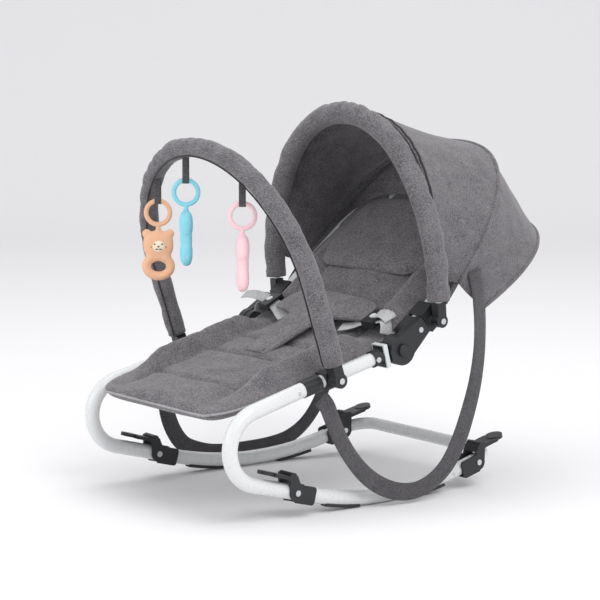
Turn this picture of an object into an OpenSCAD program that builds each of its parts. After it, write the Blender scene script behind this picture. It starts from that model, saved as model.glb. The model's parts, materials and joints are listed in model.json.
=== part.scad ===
// Baby bouncer seat: steel rocker frame, reclining fabric seat, folding canopy and toy bar.
// Millimetres. +Z is up, the seat faces -Y, and the origin is on the floor below the middle.

/* [Rocker frame] */
// Outside diameter of the main tube
tube_d = 25; // [22:0.5:28]
// Wall of the steel tubes
tube_wall = 1.2; // [1:0.1:2]
// Radius of the curved runners at the tube's centre
rocker_r = 620; // [520:10:760]
// Half angle of the curved stretch, and the slope of the straight ends
rocker_half = 14.5; // [13:0.5:16]
// Half distance between the runners at their lowest points
runner_half = 193.5; // [170:0.5:230]
// Angle by which the runners close in towards the back
toe_in = 2.4; // [0:0.1:4]
// Place of the lowest point of the runners, front to back
rock_y = -40; // [-50:1:-30]
// Straight stretch in front of the curve
front_run = 122; // [100:1:150]
// Radius of the front bends
bend_r = 60; // [50:1:75]
// Straight arm above the front bends
arm_run = 102; // [90:1:130]
// Straight end of the front tubes behind the curve
rear_run = 10; // [6:1:20]
// Reach of the rear tube behind the end of the front tubes
rear_reach = 85; // [78:1:110]
// Radius of the rear tube's corners
rear_corner_r = 48; // [40:1:60]
// Length of tube plugged into tube at each joint
plug_len = 36; // [30:1:45]
// Gap between a plug and the tube around it
plug_gap = 0.1; // [0.05:0.05:0.2]
// Outside diameter of the rear tube
rear_tube_d = 21.6; // [21:0.1:22]

/* [Rubber pads] */
// Thickness of the rubber grip pads under the runners
pad_t = 3; // [2:0.5:4]
// Length of one pad along the runner
pad_len = 70; // [50:1:90]
// Distance from the lowest point of the runner to a pad's middle
pad_at = 92; // [70:1:100]

/* [Seat frame] */
// Outside diameter of the seat's side tubes and of the backrest tube
seat_tube_d = 22; // [19:0.5:24]
// Half distance between the side tubes
seat_half = 201; // [195:0.5:240]
// Place of the recline hinge, front to back
pivot_y = -23; // [-30:1:-10]
// Outside diameter of the bar inside the front hem
front_bar_d = 16; // [14:0.5:18]
// Half width of the front bar
front_bar_half = 170; // [150:1:175]
// Radius of the front bar's corners
front_bar_r = 80; // [60:1:100]
// Length of an arm connector's body
connector_len = 34; // [30:1:40]

/* [Backrest] */
// Slope of the backrest
recline = 40; // [36:1:44]
// Half distance between the legs of the backrest's tube
back_half = 193; // [190:0.5:232]
// Length of the backrest from hinge to top bar
back_len = 332; // [300:1:380]
// Radius of the backrest tube's corners
back_corner_r = 80; // [60:1:90]
// Radius of the round hinge plates
hinge_r = 24; // [22:0.5:27]
// Thickness of the hinge housing
housing_t = 15; // [13:0.5:18]
// Thickness of the hinge arm's plate
arm_t = 15; // [12:0.5:17]
// Diameter of the hinge pin
hinge_pin_d = 8; // [6:0.5:10]
// Diameter of the recline button
button_d = 21; // [18:0.5:24]
// Travel of the recline button
button_travel = 3; // [2:0.5:4]

/* [Canopy] */
// Distance of the canopy's pivot along the backrest
canopy_at = 82; // [78:1:90]
// Distance of the canopy's pivot below the backrest tube's centre
canopy_drop = 11.5; // [10:0.5:13]
// Half width of the front hoop
hoop_half = 228; // [215:0.5:270]
// Height of the front hoop above its pivot
hoop_h = 336; // [280:1:400]
// Straight foot of the front hoop
hoop_foot = 60; // [40:1:80]
// Radius of the hoop's top
hoop_top_r = 200; // [180:1:215]
// Direction of the front hoop, from the back over the top
hoop_angle = 94; // [90:1:98]
// Outside diameter of the hoop tube
hoop_tube_d = 12; // [10:0.5:14]
// Diameter of the padded sleeve on the hoop
hoop_cover_d = 34; // [28:1:36]
// Direction of the middle bow
bow_angle = 52; // [48:1:56]
// Height of the middle bow above its pivot
bow_h = 350; // [290:1:420]
// Thickness of the canopy's cloth with its lining
cloth_t = 3; // [2.5:0.5:4]

/* [Toy bar] */
// Place of the toy bar's pivot, front to back
toy_y = -162; // [-170:1:-155]
// Half width of the toy bar
toy_half = 227.5; // [215:0.5:270]
// Height of the toy bar along its own plane
toy_h = 385; // [340:1:440]
// Forward lean of the toy bar
toy_lean = 18; // [14:1:22]
// Outside diameter of the toy bar's tube
toy_tube_d = 12; // [10:0.5:14]
// Diameter of the padded sleeve on the toy bar
toy_cover_d = 31; // [26:1:34]
// Diameter of the round hanging rings
ring_d = 48; // [40:1:56]

/* [Rocking stops] */
// Place of the front stops' rivets along the runner from its lowest point
stop_front = 196; // [185:1:210]
// Place of the rear stops' rivets along the runner from its lowest point
stop_rear = 199; // [195:1:205]
// Thickness of a stop's cheek
cheek_t = 3.5; // [3:0.5:5]
// Gap between a stop and its tube
stop_gap = 0.4; // [0.3:0.1:0.6]
// Diameter of the stop rivets
stop_pin_d = 6; // [5:0.5:7]

/* [Small parts] */
// Running clearance around pins and sliding buttons, on the radius
run_gap = 0.08; // [0.05:0.01:0.1]
// Diameter of the canopy and toy bar pins
pin_d = 6; // [5:0.5:7]
// Diameter of the snap buttons
snap_d = 6; // [5:0.5:7]
// Travel of the snap buttons
snap_travel = 3; // [2:0.5:4]
// Width of the carrying straps
strap_w = 30; // [25:1:35]
// Thickness of the straps
strap_t = 1.6; // [1.2:0.1:2]

/* [Seat cloth] */
// Half width of the seat and back pads
pad_half = 184; // [160:1:186]
// Radius of the side bolsters
bolster_r = 19; // [14:1:22]
// Half width of the head pad
head_half = 95; // [80:1:110]

/* [Hidden] */
$fn = 48;

STEEL_WHITE = "white";
STEEL_BARE = "silver";
PLASTIC_BLACK = "#242528";
PLASTIC_PALE = "#dfe3e3";
CLOTH_GREY = "#858184";
WEB_DARK = "#55545a";
WEB_PALE = "#c9cbcd";
RUBBER = "#303033";
PEACH = "#eab48f";
AQUA = "#7fd0de";
PINK = "#f4c3ca";

// ---- The runner, the bend and the arm, as points (y, z) in the plane of one side ----
tube_r = tube_d / 2;
pad_turn = asin(pad_len / rocker_r);
pad_inner = asin(pad_at / rocker_r) - pad_turn / 2;
pad_worn = 0.25;
low_z = max(tube_r, (rocker_r + tube_r + pad_t - pad_worn) * cos(pad_inner) - rocker_r);
curve_dy = rocker_r * sin(rocker_half);
curve_dz = rocker_r * (1 - cos(rocker_half));
front_y = -curve_dy - front_run * cos(rocker_half);
front_z = low_z + curve_dz + front_run * sin(rocker_half);
arm_z = front_z + 2 * bend_r * cos(rocker_half);
arm_end_y = front_y + arm_run * cos(rocker_half);
arm_end_z = arm_z + arm_run * sin(rocker_half);
rear_end_y = curve_dy + rear_run * cos(rocker_half);
rear_end_z = low_z + curve_dz + rear_run * sin(rocker_half);

// Height of the arm's line, which the side tubes carry on, at a place y
function line_z(y) = arm_z + (y - rock_y - front_y) * tan(rocker_half);
// Half distance between the runners at a distance from their lowest point
function half_at(u) = runner_half - u * sin(toe_in);

pivot_z = line_z(pivot_y);
seat_tube_r = seat_tube_d / 2;
connector_x = half_at(arm_end_y);
plug_r = tube_r - tube_wall - plug_gap;

// The rear tube lies in the plane of both runner ends
rear_tilt = atan2(sin(rocker_half), cos(toe_in) * cos(rocker_half));
rear_toe = asin(sin(toe_in) * cos(rocker_half));
rear_leg = rear_reach - rear_corner_r;
rear_plug = 30;
rear_bar_half = half_at(rear_end_y) - (rear_leg * sin(rear_toe)) - rear_corner_r * cos(rear_toe);

// ---- Hinge stack across the seat, from the tube outwards ----
housing_x = seat_half - seat_tube_r;
arm_x = housing_x + housing_t + 0.4;
arm_out_x = arm_x + arm_t;
button_seat_x = arm_x + 5;
button_x = button_seat_x + button_travel + 0.5;
button_top_x = arm_out_x + 6;

// ---- Canopy and toy bar pivots ----
clip_wall = 2.5;
clip_out_x = seat_half + seat_tube_r + clip_wall;
bow_eye_t = 4;
bow_x = clip_out_x + 0.4;
socket_in_x = bow_x + bow_eye_t + 0.4;
socket_out_x = hoop_half + hoop_tube_d / 2 + 2.5;
bow_half = bow_x + bow_eye_t / 2;
bow_rod_d = 4.4;
bow_foot = 60;
bow_top_r = 178;

canopy_y = pivot_y + canopy_at * cos(recline) + canopy_drop * sin(recline);
canopy_z = pivot_z + canopy_at * sin(recline) - canopy_drop * cos(recline);
toy_z = line_z(toy_y);

// ---- Carrying strap routes: x, y, z of the middle of the webbing ----
strap_route_right = [
    [227, 123, 376], [226.5, 131, 350], [226, 136, 310], [225.5, 138, 270], [225, 136, 230], [226, 127, 185],
    [228, 111, 140], [231, 89, 95], [233, 63, 58], [234, 31, 34], [234, -5, 22], [234, -41, 24],
    [233, -75, 36], [231, -105, 56], [228, -131, 84], [225, -153, 118], [223, -169, 152],
    [220, -179, 178], [214, -187, 190]
];
strap_route_left = [
    [-227, 123, 376], [-226, 135, 350], [-225, 147, 310], [-225, 157, 265], [-226, 164, 215],
    [-228, 165, 165], [-231, 157, 120], [-234, 139, 82], [-236, 111, 50], [-238, 75, 29],
    [-238, 35, 21], [-238, -10, 18.5], [-238, -55, 18.5], [-237, -95, 22], [-236, -130, 32],
    [-234, -157, 46], [-231, -179, 74], [-228, -193, 108], [-224, -198, 142], [-218, -196, 170],
    [-214, -191, 188]
];

// ---- Moves shared by many parts ----
module on_right(right) {
    if (right) children();
    else mirror([1, 0, 0]) children();
}

module both_sides() {
    for (right = [true, false]) on_right(right) children();
}

// Stands a drawing made in the plane of one runner on the right side, at a distance x outwards.
// There x runs to the back, y runs up and z runs outwards.
module in_runner_plane(x = 0) {
    translate([runner_half, rock_y, 0]) rotate([0, 0, toe_in]) rotate([90, 0, 90])
        translate([0, 0, x]) children();
}

// The same for the seat's sides, which run straight back
module in_side_plane(x, y, z) {
    translate([x, y, z]) rotate([90, 0, 90]) children();
}

// The backrest's frame: x across, y along the backrest, z out of its front
module on_backrest() {
    translate([0, pivot_y, pivot_z]) rotate([recline, 0, 0]) children();
}

// A frame that turns about a cross axis through y, z: y runs along the given direction
module turned(y, z, angle) {
    translate([0, y, z]) rotate([angle, 0, 0]) children();
}

// A rod along a path of straights [length] and bends [radius, turn], with a low bead at each seam
bead = 0.15;
bead_len = 3;
module rod(path, r, i = 0) {
    if (i > 0 && i < len(path)) rotate([0, 90, 0]) cylinder(r = r + bead, h = bead_len, center = true);
    if (i < len(path)) {
        step = path[i];
        if (len(step) == 1) {
            rotate([0, 90, 0]) cylinder(r = r, h = step[0]);
            translate([step[0], 0, 0]) rod(path, r, i + 1);
        } else {
            side = sign(step[1]);
            sweep = abs(step[1]);
            translate([0, side * step[0], 0]) {
                rotate([0, 0, side > 0 ? -90 : 90 - sweep])
                    rotate_extrude(angle = sweep, $fn = 96) translate([step[0], 0]) circle(r = r, $fn = 48);
                rotate([0, 0, step[1]]) translate([0, -side * step[0], 0]) rod(path, r, i + 1);
            }
        }
    }
}

function longer(path, extra) = [
    for (i = [0 : len(path) - 1]) i == 0 || i == len(path) - 1 ? [path[i][0] + extra] : path[i]
];

// A hollow tube along a path that starts and ends straight
module tube(path, d, wall = tube_wall) {
    difference() {
        rod(path, d / 2);
        translate([-1, 0, 0]) rod(longer(path, 1), d / 2 - wall);
    }
}

// An arch drawn from its right foot over the top: straight feet, side curves and a top curve
function arch_side_r(half, rise, top_r) =
    (half * half + pow(rise - top_r, 2) - top_r * top_r) / (2 * (half - top_r));
function arch_side_turn(half, rise, top_r) =
    atan2(rise - top_r, arch_side_r(half, rise, top_r) - half);
function arch_path(half, height, foot, top_r, start) =
    let (
        rise = height - foot,
        side_r = arch_side_r(half, rise, top_r),
        turn = arch_side_turn(half, rise, top_r)
    )
    [[foot - start], [side_r, turn], [top_r, 180 - 2 * turn], [side_r, turn], [foot - start]];

// Sets an arch with its feet on the cross axis, rising along y
module stand_arch(half, start) {
    translate([half, start, 0]) rotate([0, 0, 90]) children();
}

fullness = 0.8;
// Corner points of a smooth arch with a half width and height, for the cloth panels
function arch_outline(half, height, foot) = concat(
    [[half, 0]],
    [for (a = [0 : 9 : 180]) [
        half * sign(cos(a)) * pow(abs(cos(a)), fullness), foot + (height - foot) * pow(sin(a), fullness)
    ]],
    [[-half, 0]]
);

// A flat band swept along a route: w across the route in the x direction, t through
function unit(v) = v / norm(v);
function route_dir(p, i) = unit(p[min(i + 1, len(p) - 1)] - p[max(i - 1, 0)]);
function band_ring(p, i, w, t) =
    let (d = route_dir(p, i), across = unit(cross([1, 0, 0], d)), out = cross(d, across))
    [for (c = [[-1, -0.6], [-0.9, -1], [0.9, -1], [1, -0.6], [1, 0.6], [0.9, 1], [-0.9, 1], [-1, 0.6]])
        p[i] + across * c[0] * w / 2 + out * c[1] * t / 2];
module band(p, w, t) {
    n = 8;
    rings = len(p);
    points = [for (i = [0 : rings - 1]) each band_ring(p, i, w, t)];
    sides = [for (i = [0 : rings - 2], k = [0 : n - 1])
        [i * n + k, i * n + (k + 1) % n, (i + 1) * n + (k + 1) % n, (i + 1) * n + k]];
    polyhedron(points, concat([[for (k = [n - 1 : -1 : 0]) k]], sides,
        [[for (k = [0 : n - 1]) (rings - 1) * n + k]]), convexity = 6);
}

// ---- Rocker frame ----
runner_path = [
    [rear_run], [rocker_r, -2 * rocker_half], [front_run],
    [bend_r, -(180 - 2 * rocker_half)], [arm_run]
];

module rocker_tube(right) {
    color(STEEL_WHITE) on_right(right) difference() {
        in_runner_plane() translate([rear_end_y, rear_end_z, 0]) rotate([0, 0, 180 + rocker_half])
            tube(runner_path, tube_d);
        stop_bore(stop_front, -1);
        snap_bore_front();
        snap_bore_rear();
    }
}

// Point (y, z) and slope on the runner at a distance along y from its lowest point
function runner_z(u) =
    abs(u) < curve_dy ? low_z + rocker_r - sqrt(rocker_r * rocker_r - u * u)
    : low_z + curve_dz + (abs(u) - curve_dy) * tan(rocker_half);

module at_stop(distance, way) {
    in_runner_plane() translate([way * distance, runner_z(distance), 0])
        rotate([0, 0, way * rocker_half]) children();
}

module stop_bore(distance, way) {
    at_stop(distance, way) cylinder(d = stop_pin_d, h = 2 * tube_d, center = true);
}

snap_front_back = 14;
module at_front_snap() {
    in_runner_plane() translate([arm_end_y, arm_end_z, 0]) rotate([0, 0, rocker_half])
        translate([-snap_front_back, 0, 0]) children();
}

snap_rear_back = 20;
module at_rear_snap() {
    in_runner_plane() translate([rear_end_y, rear_end_z, 0]) rotate([0, 0, rocker_half])
        translate([-snap_rear_back, 0, 0]) children();
}

module snap_bore_front() {
    at_front_snap() cylinder(d = snap_d + 2 * run_gap, h = tube_d);
}

module snap_bore_rear() {
    at_rear_snap() cylinder(d = snap_d + 2 * run_gap, h = tube_d);
}

snap_out = 1.6;
module snap_button() {
    translate([0, 0, tube_r + snap_out - 7]) cylinder(d = snap_d, h = 6);
    translate([0, 0, tube_r + snap_out - 1]) cylinder(d1 = snap_d, d2 = snap_d - 2, h = 1);
}

module snap_front(right) {
    color(STEEL_BARE) on_right(right) at_front_snap() snap_button();
}

module snap_rear(right) {
    color(STEEL_BARE) on_right(right) at_rear_snap() snap_button();
}

module rear_tube() {
    turn = 90 - rear_toe;
    path = [[rear_plug + rear_leg], [rear_corner_r, turn], [2 * rear_bar_half], [rear_corner_r, turn],
        [rear_plug + rear_leg]];
    color(STEEL_WHITE) difference() {
        translate([half_at(rear_end_y), rock_y + rear_end_y * cos(toe_in), rear_end_z])
            rotate([rear_tilt, 0, 0]) rotate([0, 0, 90 + rear_toe]) translate([-rear_plug, 0, 0])
                tube(path, rear_tube_d);
        both_sides() {
            stop_bore(stop_rear, 1);
            snap_bore_rear();
        }
    }
}

module runner_pads() {
    color(RUBBER) both_sides() for (way = [-1, 1]) difference() {
        in_runner_plane() translate([0, low_z + rocker_r, 0])
            rotate([0, 0, -90 + way * asin(pad_at / rocker_r) - pad_turn / 2])
                rotate_extrude(angle = pad_turn, $fn = 96) difference() {
                    translate([rocker_r + tube_r / 2, -tube_r * 0.6])
                        square([tube_r / 2 + pad_t, tube_r * 1.2]);
                    translate([rocker_r, 0]) circle(r = tube_r);
                }
        in_runner_plane() translate([way * pad_at - pad_len, -10, -tube_r]) cube([2 * pad_len, 10, tube_d]);
    }
}

// ---- Seat frame ----
module arm_connector(right) {
    bar_leg_x = front_bar_half;
    color(PLASTIC_BLACK) on_right(right) difference() {
        union() {
            in_side_plane(connector_x, rock_y + arm_end_y, arm_end_z) rotate([0, 0, rocker_half])
                rotate([0, 90, 0]) cylinder(r = tube_r + 1.5, h = connector_len);
            in_runner_plane() translate([arm_end_y, arm_end_z, 0]) rotate([0, 0, rocker_half])
                translate([-plug_len, 0, 0]) rotate([0, 90, 0]) cylinder(r = plug_r, h = plug_len + 2);
            in_side_plane(bar_leg_x, rock_y + arm_end_y, arm_end_z) rotate([0, 0, rocker_half])
                rotate([0, 90, 0]) cylinder(d = front_bar_d + 5, h = connector_len);
            in_side_plane(bar_leg_x, rock_y + arm_end_y, arm_end_z) rotate([0, 0, rocker_half])
                translate([2, -7, 0]) cube([connector_len - 4, 14, connector_x - bar_leg_x]);
        }
        side_tube_blank();
        front_bar_blank();
        runner_end_room();
        at_front_snap() cylinder(d = snap_d + 2 * run_gap, h = tube_d);
    }
}

// The runner's own end, around the plug
module runner_end_room() {
    in_runner_plane() translate([arm_end_y, arm_end_z, 0]) rotate([0, 0, rocker_half])
        translate([-plug_len, 0, 0]) rotate([0, 90, 0]) difference() {
            cylinder(r = tube_r + 4, h = plug_len);
            translate([0, 0, -1]) cylinder(r = plug_r, h = plug_len + 2);
        }
}

side_tube_start = 4;
module at_side_tube() {
    in_side_plane(seat_half, rock_y + arm_end_y, arm_end_z) rotate([0, 0, rocker_half])
        translate([side_tube_start, 0, 0]) rotate([0, 90, 0]) children();
}

housing_near = 27;
side_tube_len = (pivot_y - rock_y - arm_end_y) / cos(rocker_half) - side_tube_start - housing_near - 2;
module side_tube_blank() {
    at_side_tube() cylinder(r = seat_tube_r, h = side_tube_len);
}

module side_tube(right) {
    color(STEEL_WHITE) on_right(right) difference() {
        side_tube_blank();
        at_side_tube() translate([0, 0, -1]) cylinder(r = seat_tube_r - tube_wall, h = side_tube_len + 2);
        rivet_hole(pivot_y - 47);
        rivet_hole(toy_y);
    }
}

module rivet_hole(y) {
    translate([seat_half - seat_tube_d, y, line_z(y)]) rotate([0, 90, 0])
        cylinder(d = 4, h = 2 * seat_tube_d);
}

module front_bar_path(r) {
    leg = (front_bar_reach - front_bar_r);
    translate([front_bar_half, rock_y + arm_end_y, arm_end_z]) rotate([rocker_half, 0, 0])
        translate([0, 12, 0]) rotate([0, 0, -90])
            rod([[leg + 12], [front_bar_r, -90], [2 * (front_bar_half - front_bar_r)], [front_bar_r, -90],
                [leg + 12]], r);
}
front_bar_reach = arm_run + 27;

module front_bar_blank() {
    front_bar_path(front_bar_d / 2);
}

module front_bar() {
    leg = front_bar_reach - front_bar_r;
    color(STEEL_BARE)
    translate([front_bar_half, rock_y + arm_end_y, arm_end_z]) rotate([rocker_half, 0, 0])
        translate([0, 12, 0]) rotate([0, 0, -90])
            tube([[leg + 12], [front_bar_r, -90], [2 * (front_bar_half - front_bar_r)],
                [front_bar_r, -90], [leg + 12]], front_bar_d);
}

// ---- Recline hinge ----
sleeve_r = seat_tube_r + 3;
sleeve_len = 26;
block_h = 36;
module hinge_housing(right) {
    color(PLASTIC_BLACK) on_right(right) difference() {
        union() {
            in_side_plane(housing_x, pivot_y, pivot_z) cylinder(r = hinge_r, h = housing_t);
            in_side_plane(seat_half, pivot_y, pivot_z) rotate([0, 0, rocker_half])
                translate([-housing_near - sleeve_len, 0, 0]) rotate([0, 90, 0])
                    cylinder(r = sleeve_r, h = sleeve_len + 1.5);
            in_side_plane(housing_x, pivot_y, pivot_z) rotate([0, 0, rocker_half])
                translate([-housing_near - 2, -block_h / 2, 0]) cube([housing_near - 4, block_h, housing_t]);
            in_side_plane(housing_x, pivot_y, pivot_z) rotate([0, 0, rocker_half])
                translate([-housing_near - 9, -block_h / 2, -1.5])
                    cube([10, block_h, seat_tube_d + 3]);
        }
        side_tube_blank();
        in_side_plane(housing_x - 5, pivot_y, pivot_z) cylinder(d = hinge_pin_d, h = housing_t + 10);
        rivet_hole(pivot_y - 47);
    }
}

module hinge_collars() {
    color(PLASTIC_PALE) both_sides() difference() {
        in_side_plane(housing_x, pivot_y, pivot_z) rotate([0, 0, rocker_half])
            translate([-housing_near - 8, -block_h / 2 - 1.5, -4.5])
                cube([8, block_h + 3, seat_tube_d + 9]);
        in_side_plane(housing_x, pivot_y, pivot_z) rotate([0, 0, rocker_half])
            translate([-housing_near - 9, -block_h / 2, -1.5])
                cube([10, block_h, seat_tube_d + 3]);
        in_side_plane(seat_half, pivot_y, pivot_z) rotate([0, 0, rocker_half])
            translate([-housing_near - sleeve_len, 0, 0]) rotate([0, 90, 0])
                cylinder(r = sleeve_r, h = sleeve_len + 1.5);
    }
}

module hinge_pins() {
    color(STEEL_BARE) both_sides() in_side_plane(housing_x, pivot_y, pivot_z)
        cylinder(d = hinge_pin_d, h = button_seat_x - housing_x - 0.2);
}

arm_near = hinge_r + 3;
arm_far = 62;
arm_wide = 30;
arm_root = button_d / 2 + 1.5;
arm_in_x = back_half - seat_tube_r - 2;
module hinge_arm(right) {
    color(PLASTIC_BLACK) on_right(right) difference() {
        union() {
            in_side_plane(arm_x, pivot_y, pivot_z) rotate([0, 0, recline + 180])
                cylinder(r = hinge_r + 1, h = arm_t);
            in_side_plane(arm_x, pivot_y, pivot_z) rotate([0, 0, recline]) linear_extrude(arm_t)
                polygon([
                    [arm_root, 3 - hinge_r], [arm_far, -arm_wide / 2],
                    [arm_far, arm_wide / 2], [arm_root, hinge_r - 3]
                ]);
            in_side_plane(arm_in_x, pivot_y, pivot_z) rotate([0, 0, recline])
                translate([arm_near, -arm_wide / 2 + 0.5, 0])
                    cube([arm_far - arm_near - 0.5, arm_wide - 1, arm_out_x - arm_in_x - 1]);
        }
        on_backrest() translate([back_half, back_leg_start, 0]) rotate([-90, 0, 0])
            cylinder(r = seat_tube_r, h = back_len);
        in_side_plane(arm_x - 1, pivot_y, pivot_z) cylinder(d = hinge_pin_d + 2 * run_gap, h = arm_t);
        in_side_plane(button_seat_x, pivot_y, pivot_z) cylinder(d = button_d + 2 * run_gap, h = arm_t);
        back_rivet_hole(back_rivet_at);
    }
}

module recline_button(right) {
    color(PLASTIC_BLACK) on_right(right) in_side_plane(button_x, pivot_y, pivot_z) {
        cylinder(d = button_d, h = button_top_x - button_x - 1.5);
        translate([0, 0, button_top_x - button_x - 1.5])
            cylinder(d1 = button_d, d2 = button_d - 3, h = 1.5);
    }
}

// ---- Backrest ----
back_leg_start = arm_near + 3;
back_rivet_at = 48;
module backrest_tube() {
    leg = back_len - back_corner_r - back_leg_start;
    color(STEEL_WHITE) difference() {
        on_backrest() translate([back_half, back_leg_start, 0]) rotate([0, 0, 90])
            tube([[leg], [back_corner_r, 90], [2 * (back_half - back_corner_r)], [back_corner_r, 90],
                [leg]], seat_tube_d);
        both_sides() back_rivet_hole(back_rivet_at);
    }
}

module back_rivet_hole(along) {
    on_backrest() translate([arm_in_x - 1, along, 0]) rotate([0, 90, 0])
        cylinder(d = 4, h = 2 * seat_tube_d);
}

clip_half = 15;
module canopy_clips() {
    color(PLASTIC_BLACK) both_sides() difference() {
        on_backrest() union() {
            translate([back_half - seat_tube_r - clip_wall, canopy_at - clip_half, -canopy_drop - 13])
                cube([clip_out_x - back_half + seat_tube_r + clip_wall, 2 * clip_half,
                    canopy_drop + 13 + seat_tube_r + clip_wall]);
        }
        on_backrest() translate([back_half, back_leg_start, 0]) rotate([-90, 0, 0])
            cylinder(r = seat_tube_r, h = back_len - back_corner_r - back_leg_start);
        canopy_pin_blank();
    }
}

canopy_pin_in = 8;
module canopy_pin_blank() {
    translate([clip_out_x - canopy_pin_in, canopy_y, canopy_z]) rotate([0, 90, 0])
        cylinder(d = pin_d, h = socket_out_x - clip_out_x + canopy_pin_in + 0.4);
}

module canopy_pins() {
    color(STEEL_BARE) both_sides() {
        canopy_pin_blank();
        translate([socket_out_x + 0.4, canopy_y, canopy_z]) rotate([0, 90, 0])
            cylinder(d = pin_d + 4, h = 2);
    }
}

// ---- Canopy ----
socket_len = 30;
hoop_start = 13;
hoop_path = arch_path(hoop_half, hoop_h, hoop_foot, hoop_top_r, hoop_start);
module canopy_hoop_tube() {
    color(STEEL_BARE) turned(canopy_y, canopy_z, hoop_angle)
        stand_arch(hoop_half, hoop_start) tube(hoop_path, hoop_tube_d, 1);
}

module hoop_sockets() {
    color(PLASTIC_BLACK) turned(canopy_y, canopy_z, hoop_angle) both_sides() difference() {
        union() {
            translate([socket_in_x, 0, 0]) rotate([0, 90, 0]) cylinder(r = 11, h = socket_out_x - socket_in_x);
            translate([socket_in_x, 0, -hoop_tube_d / 2 - 2.5])
                cube([socket_out_x - socket_in_x, socket_len, hoop_tube_d + 5]);
        }
        translate([socket_in_x - 1, 0, 0]) rotate([0, 90, 0]) cylinder(d = pin_d + 2 * run_gap, h = 40);
        translate([hoop_half, hoop_start, 0]) rotate([-90, 0, 0]) cylinder(d = hoop_tube_d, h = 60);
    }
}

cover_start = socket_len + 4;
module hoop_cover() {
    path = arch_path(hoop_half, hoop_h, hoop_foot, hoop_top_r, cover_start);
    color(CLOTH_GREY) turned(canopy_y, canopy_z, hoop_angle) stand_arch(hoop_half, cover_start)
        difference() {
            rod(path, hoop_cover_d / 2);
            translate([-1, 0, 0]) rod(longer(path, 1), hoop_tube_d / 2);
        }
}

module canopy_bow() {
    color(STEEL_BARE) turned(canopy_y, canopy_z, bow_angle) {
        stand_arch(bow_half, 8) rod(arch_path(bow_half, bow_h, bow_foot, bow_top_r, 8), bow_rod_d / 2);
        both_sides() difference() {
            translate([bow_x, 0, 0]) rotate([0, 90, 0]) cylinder(r = 10, h = bow_eye_t);
            translate([bow_x - 1, 0, 0]) rotate([0, 90, 0]) cylinder(d = pin_d + 2 * run_gap, h = bow_eye_t + 2);
        }
    }
}

// A thin slab of arch shape, standing in the plane of y and x
module arch_slab(half, height, foot) {
    linear_extrude(0.2, center = true) polygon(arch_outline(half, height, foot));
}

front_panel_foot = 42;
panel_half = socket_in_x + cloth_t + 1;
panel_top = bow_h + bow_rod_d / 2 + 0.6 + cloth_t;
hoop_back_gap = 3.4;
module canopy_front_panel() {
    color(CLOTH_GREY) difference() {
        hull() {
            turned(canopy_y, canopy_z, hoop_angle - hoop_back_gap) translate([0, front_panel_foot, 0])
                arch_slab(panel_half, hoop_h + 4 - front_panel_foot, 30);
            turned(canopy_y, canopy_z, bow_angle) translate([0, front_panel_foot, 0])
                arch_slab(panel_half, panel_top - front_panel_foot, 30);
        }
        hull() {
            turned(canopy_y, canopy_z, hoop_angle + 1) translate([0, -20, 0])
                arch_slab(panel_half - cloth_t, hoop_h + 4 + 20 - cloth_t, 90);
            turned(canopy_y, canopy_z, bow_angle - 1) translate([0, -20, 0])
                arch_slab(panel_half - cloth_t, panel_top + 20 - cloth_t, 90);
        }
        turned(canopy_y, canopy_z, hoop_angle) stand_arch(hoop_half, 0)
            rod(arch_path(hoop_half, hoop_h, hoop_foot, hoop_top_r, 0), hoop_cover_d / 2 + 0.4);
        turned(canopy_y, canopy_z, bow_angle) stand_arch(bow_half, 8)
            rod(arch_path(bow_half, bow_h, bow_foot, bow_top_r, 8), bow_rod_d / 2 + 0.3);
    }
}

// The rear panel runs from the bow to a hem that starts behind the clips
hem_y = 95;
hem_z = 283;
hem_top_y = 371;
hem_top_z = 440;
hem_angle = atan2(hem_top_z - hem_z, hem_top_y - hem_y);
hem_h = norm([hem_top_z - hem_z, hem_top_y - hem_y]);
rear_half = panel_half;
module canopy_rear_panel() {
    color(CLOTH_GREY) difference() {
        hull() {
            turned(canopy_y, canopy_z, bow_angle - 0.6) translate([0, front_panel_foot, 0])
                arch_slab(rear_half, panel_top - front_panel_foot, 30);
            turned(hem_y, hem_z, hem_angle) arch_slab(rear_half, hem_h, 60);
        }
        hull() {
            turned(canopy_y, canopy_z, bow_angle + 2) translate([0, -20, 0])
                arch_slab(rear_half - cloth_t, panel_top + 20 - cloth_t, 90);
            turned(hem_y, hem_z, hem_angle - 1) translate([0, -60, 0])
                arch_slab(rear_half - cloth_t, hem_h + 60 - cloth_t, 120);
        }
    }
}

// ---- Toy bar ----
toy_socket_in_x = seat_half + seat_tube_r + clip_wall + 0.4;
toy_socket_out_x = toy_half + toy_tube_d / 2 + 2.5;
module toy_bar_pin_blank() {
    translate([toy_socket_in_x - 8, toy_y, toy_z]) rotate([0, 90, 0])
        cylinder(d = pin_d, h = toy_socket_out_x - toy_socket_in_x + 8.4);
}

module toy_bar_mounts() {
    color(PLASTIC_BLACK) both_sides() difference() {
        in_side_plane(seat_half - seat_tube_r - clip_wall, toy_y, toy_z) rotate([0, 0, rocker_half])
            translate([-13, -seat_tube_r - clip_wall, 0])
                cube([26, seat_tube_d + 2 * clip_wall, seat_tube_d + 2 * clip_wall]);
        side_tube_blank();
        toy_bar_pin_blank();
    }
}

toy_start = 13;
toy_path = [[toy_h - toy_half - toy_start], [toy_half, 180], [toy_h - toy_half - toy_start]];
module on_toy_bar() {
    turned(toy_y, toy_z, 90 + toy_lean) children();
}

module toy_bar_tube() {
    color(STEEL_BARE) on_toy_bar() stand_arch(toy_half, toy_start) tube(toy_path, toy_tube_d, 1);
}

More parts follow.
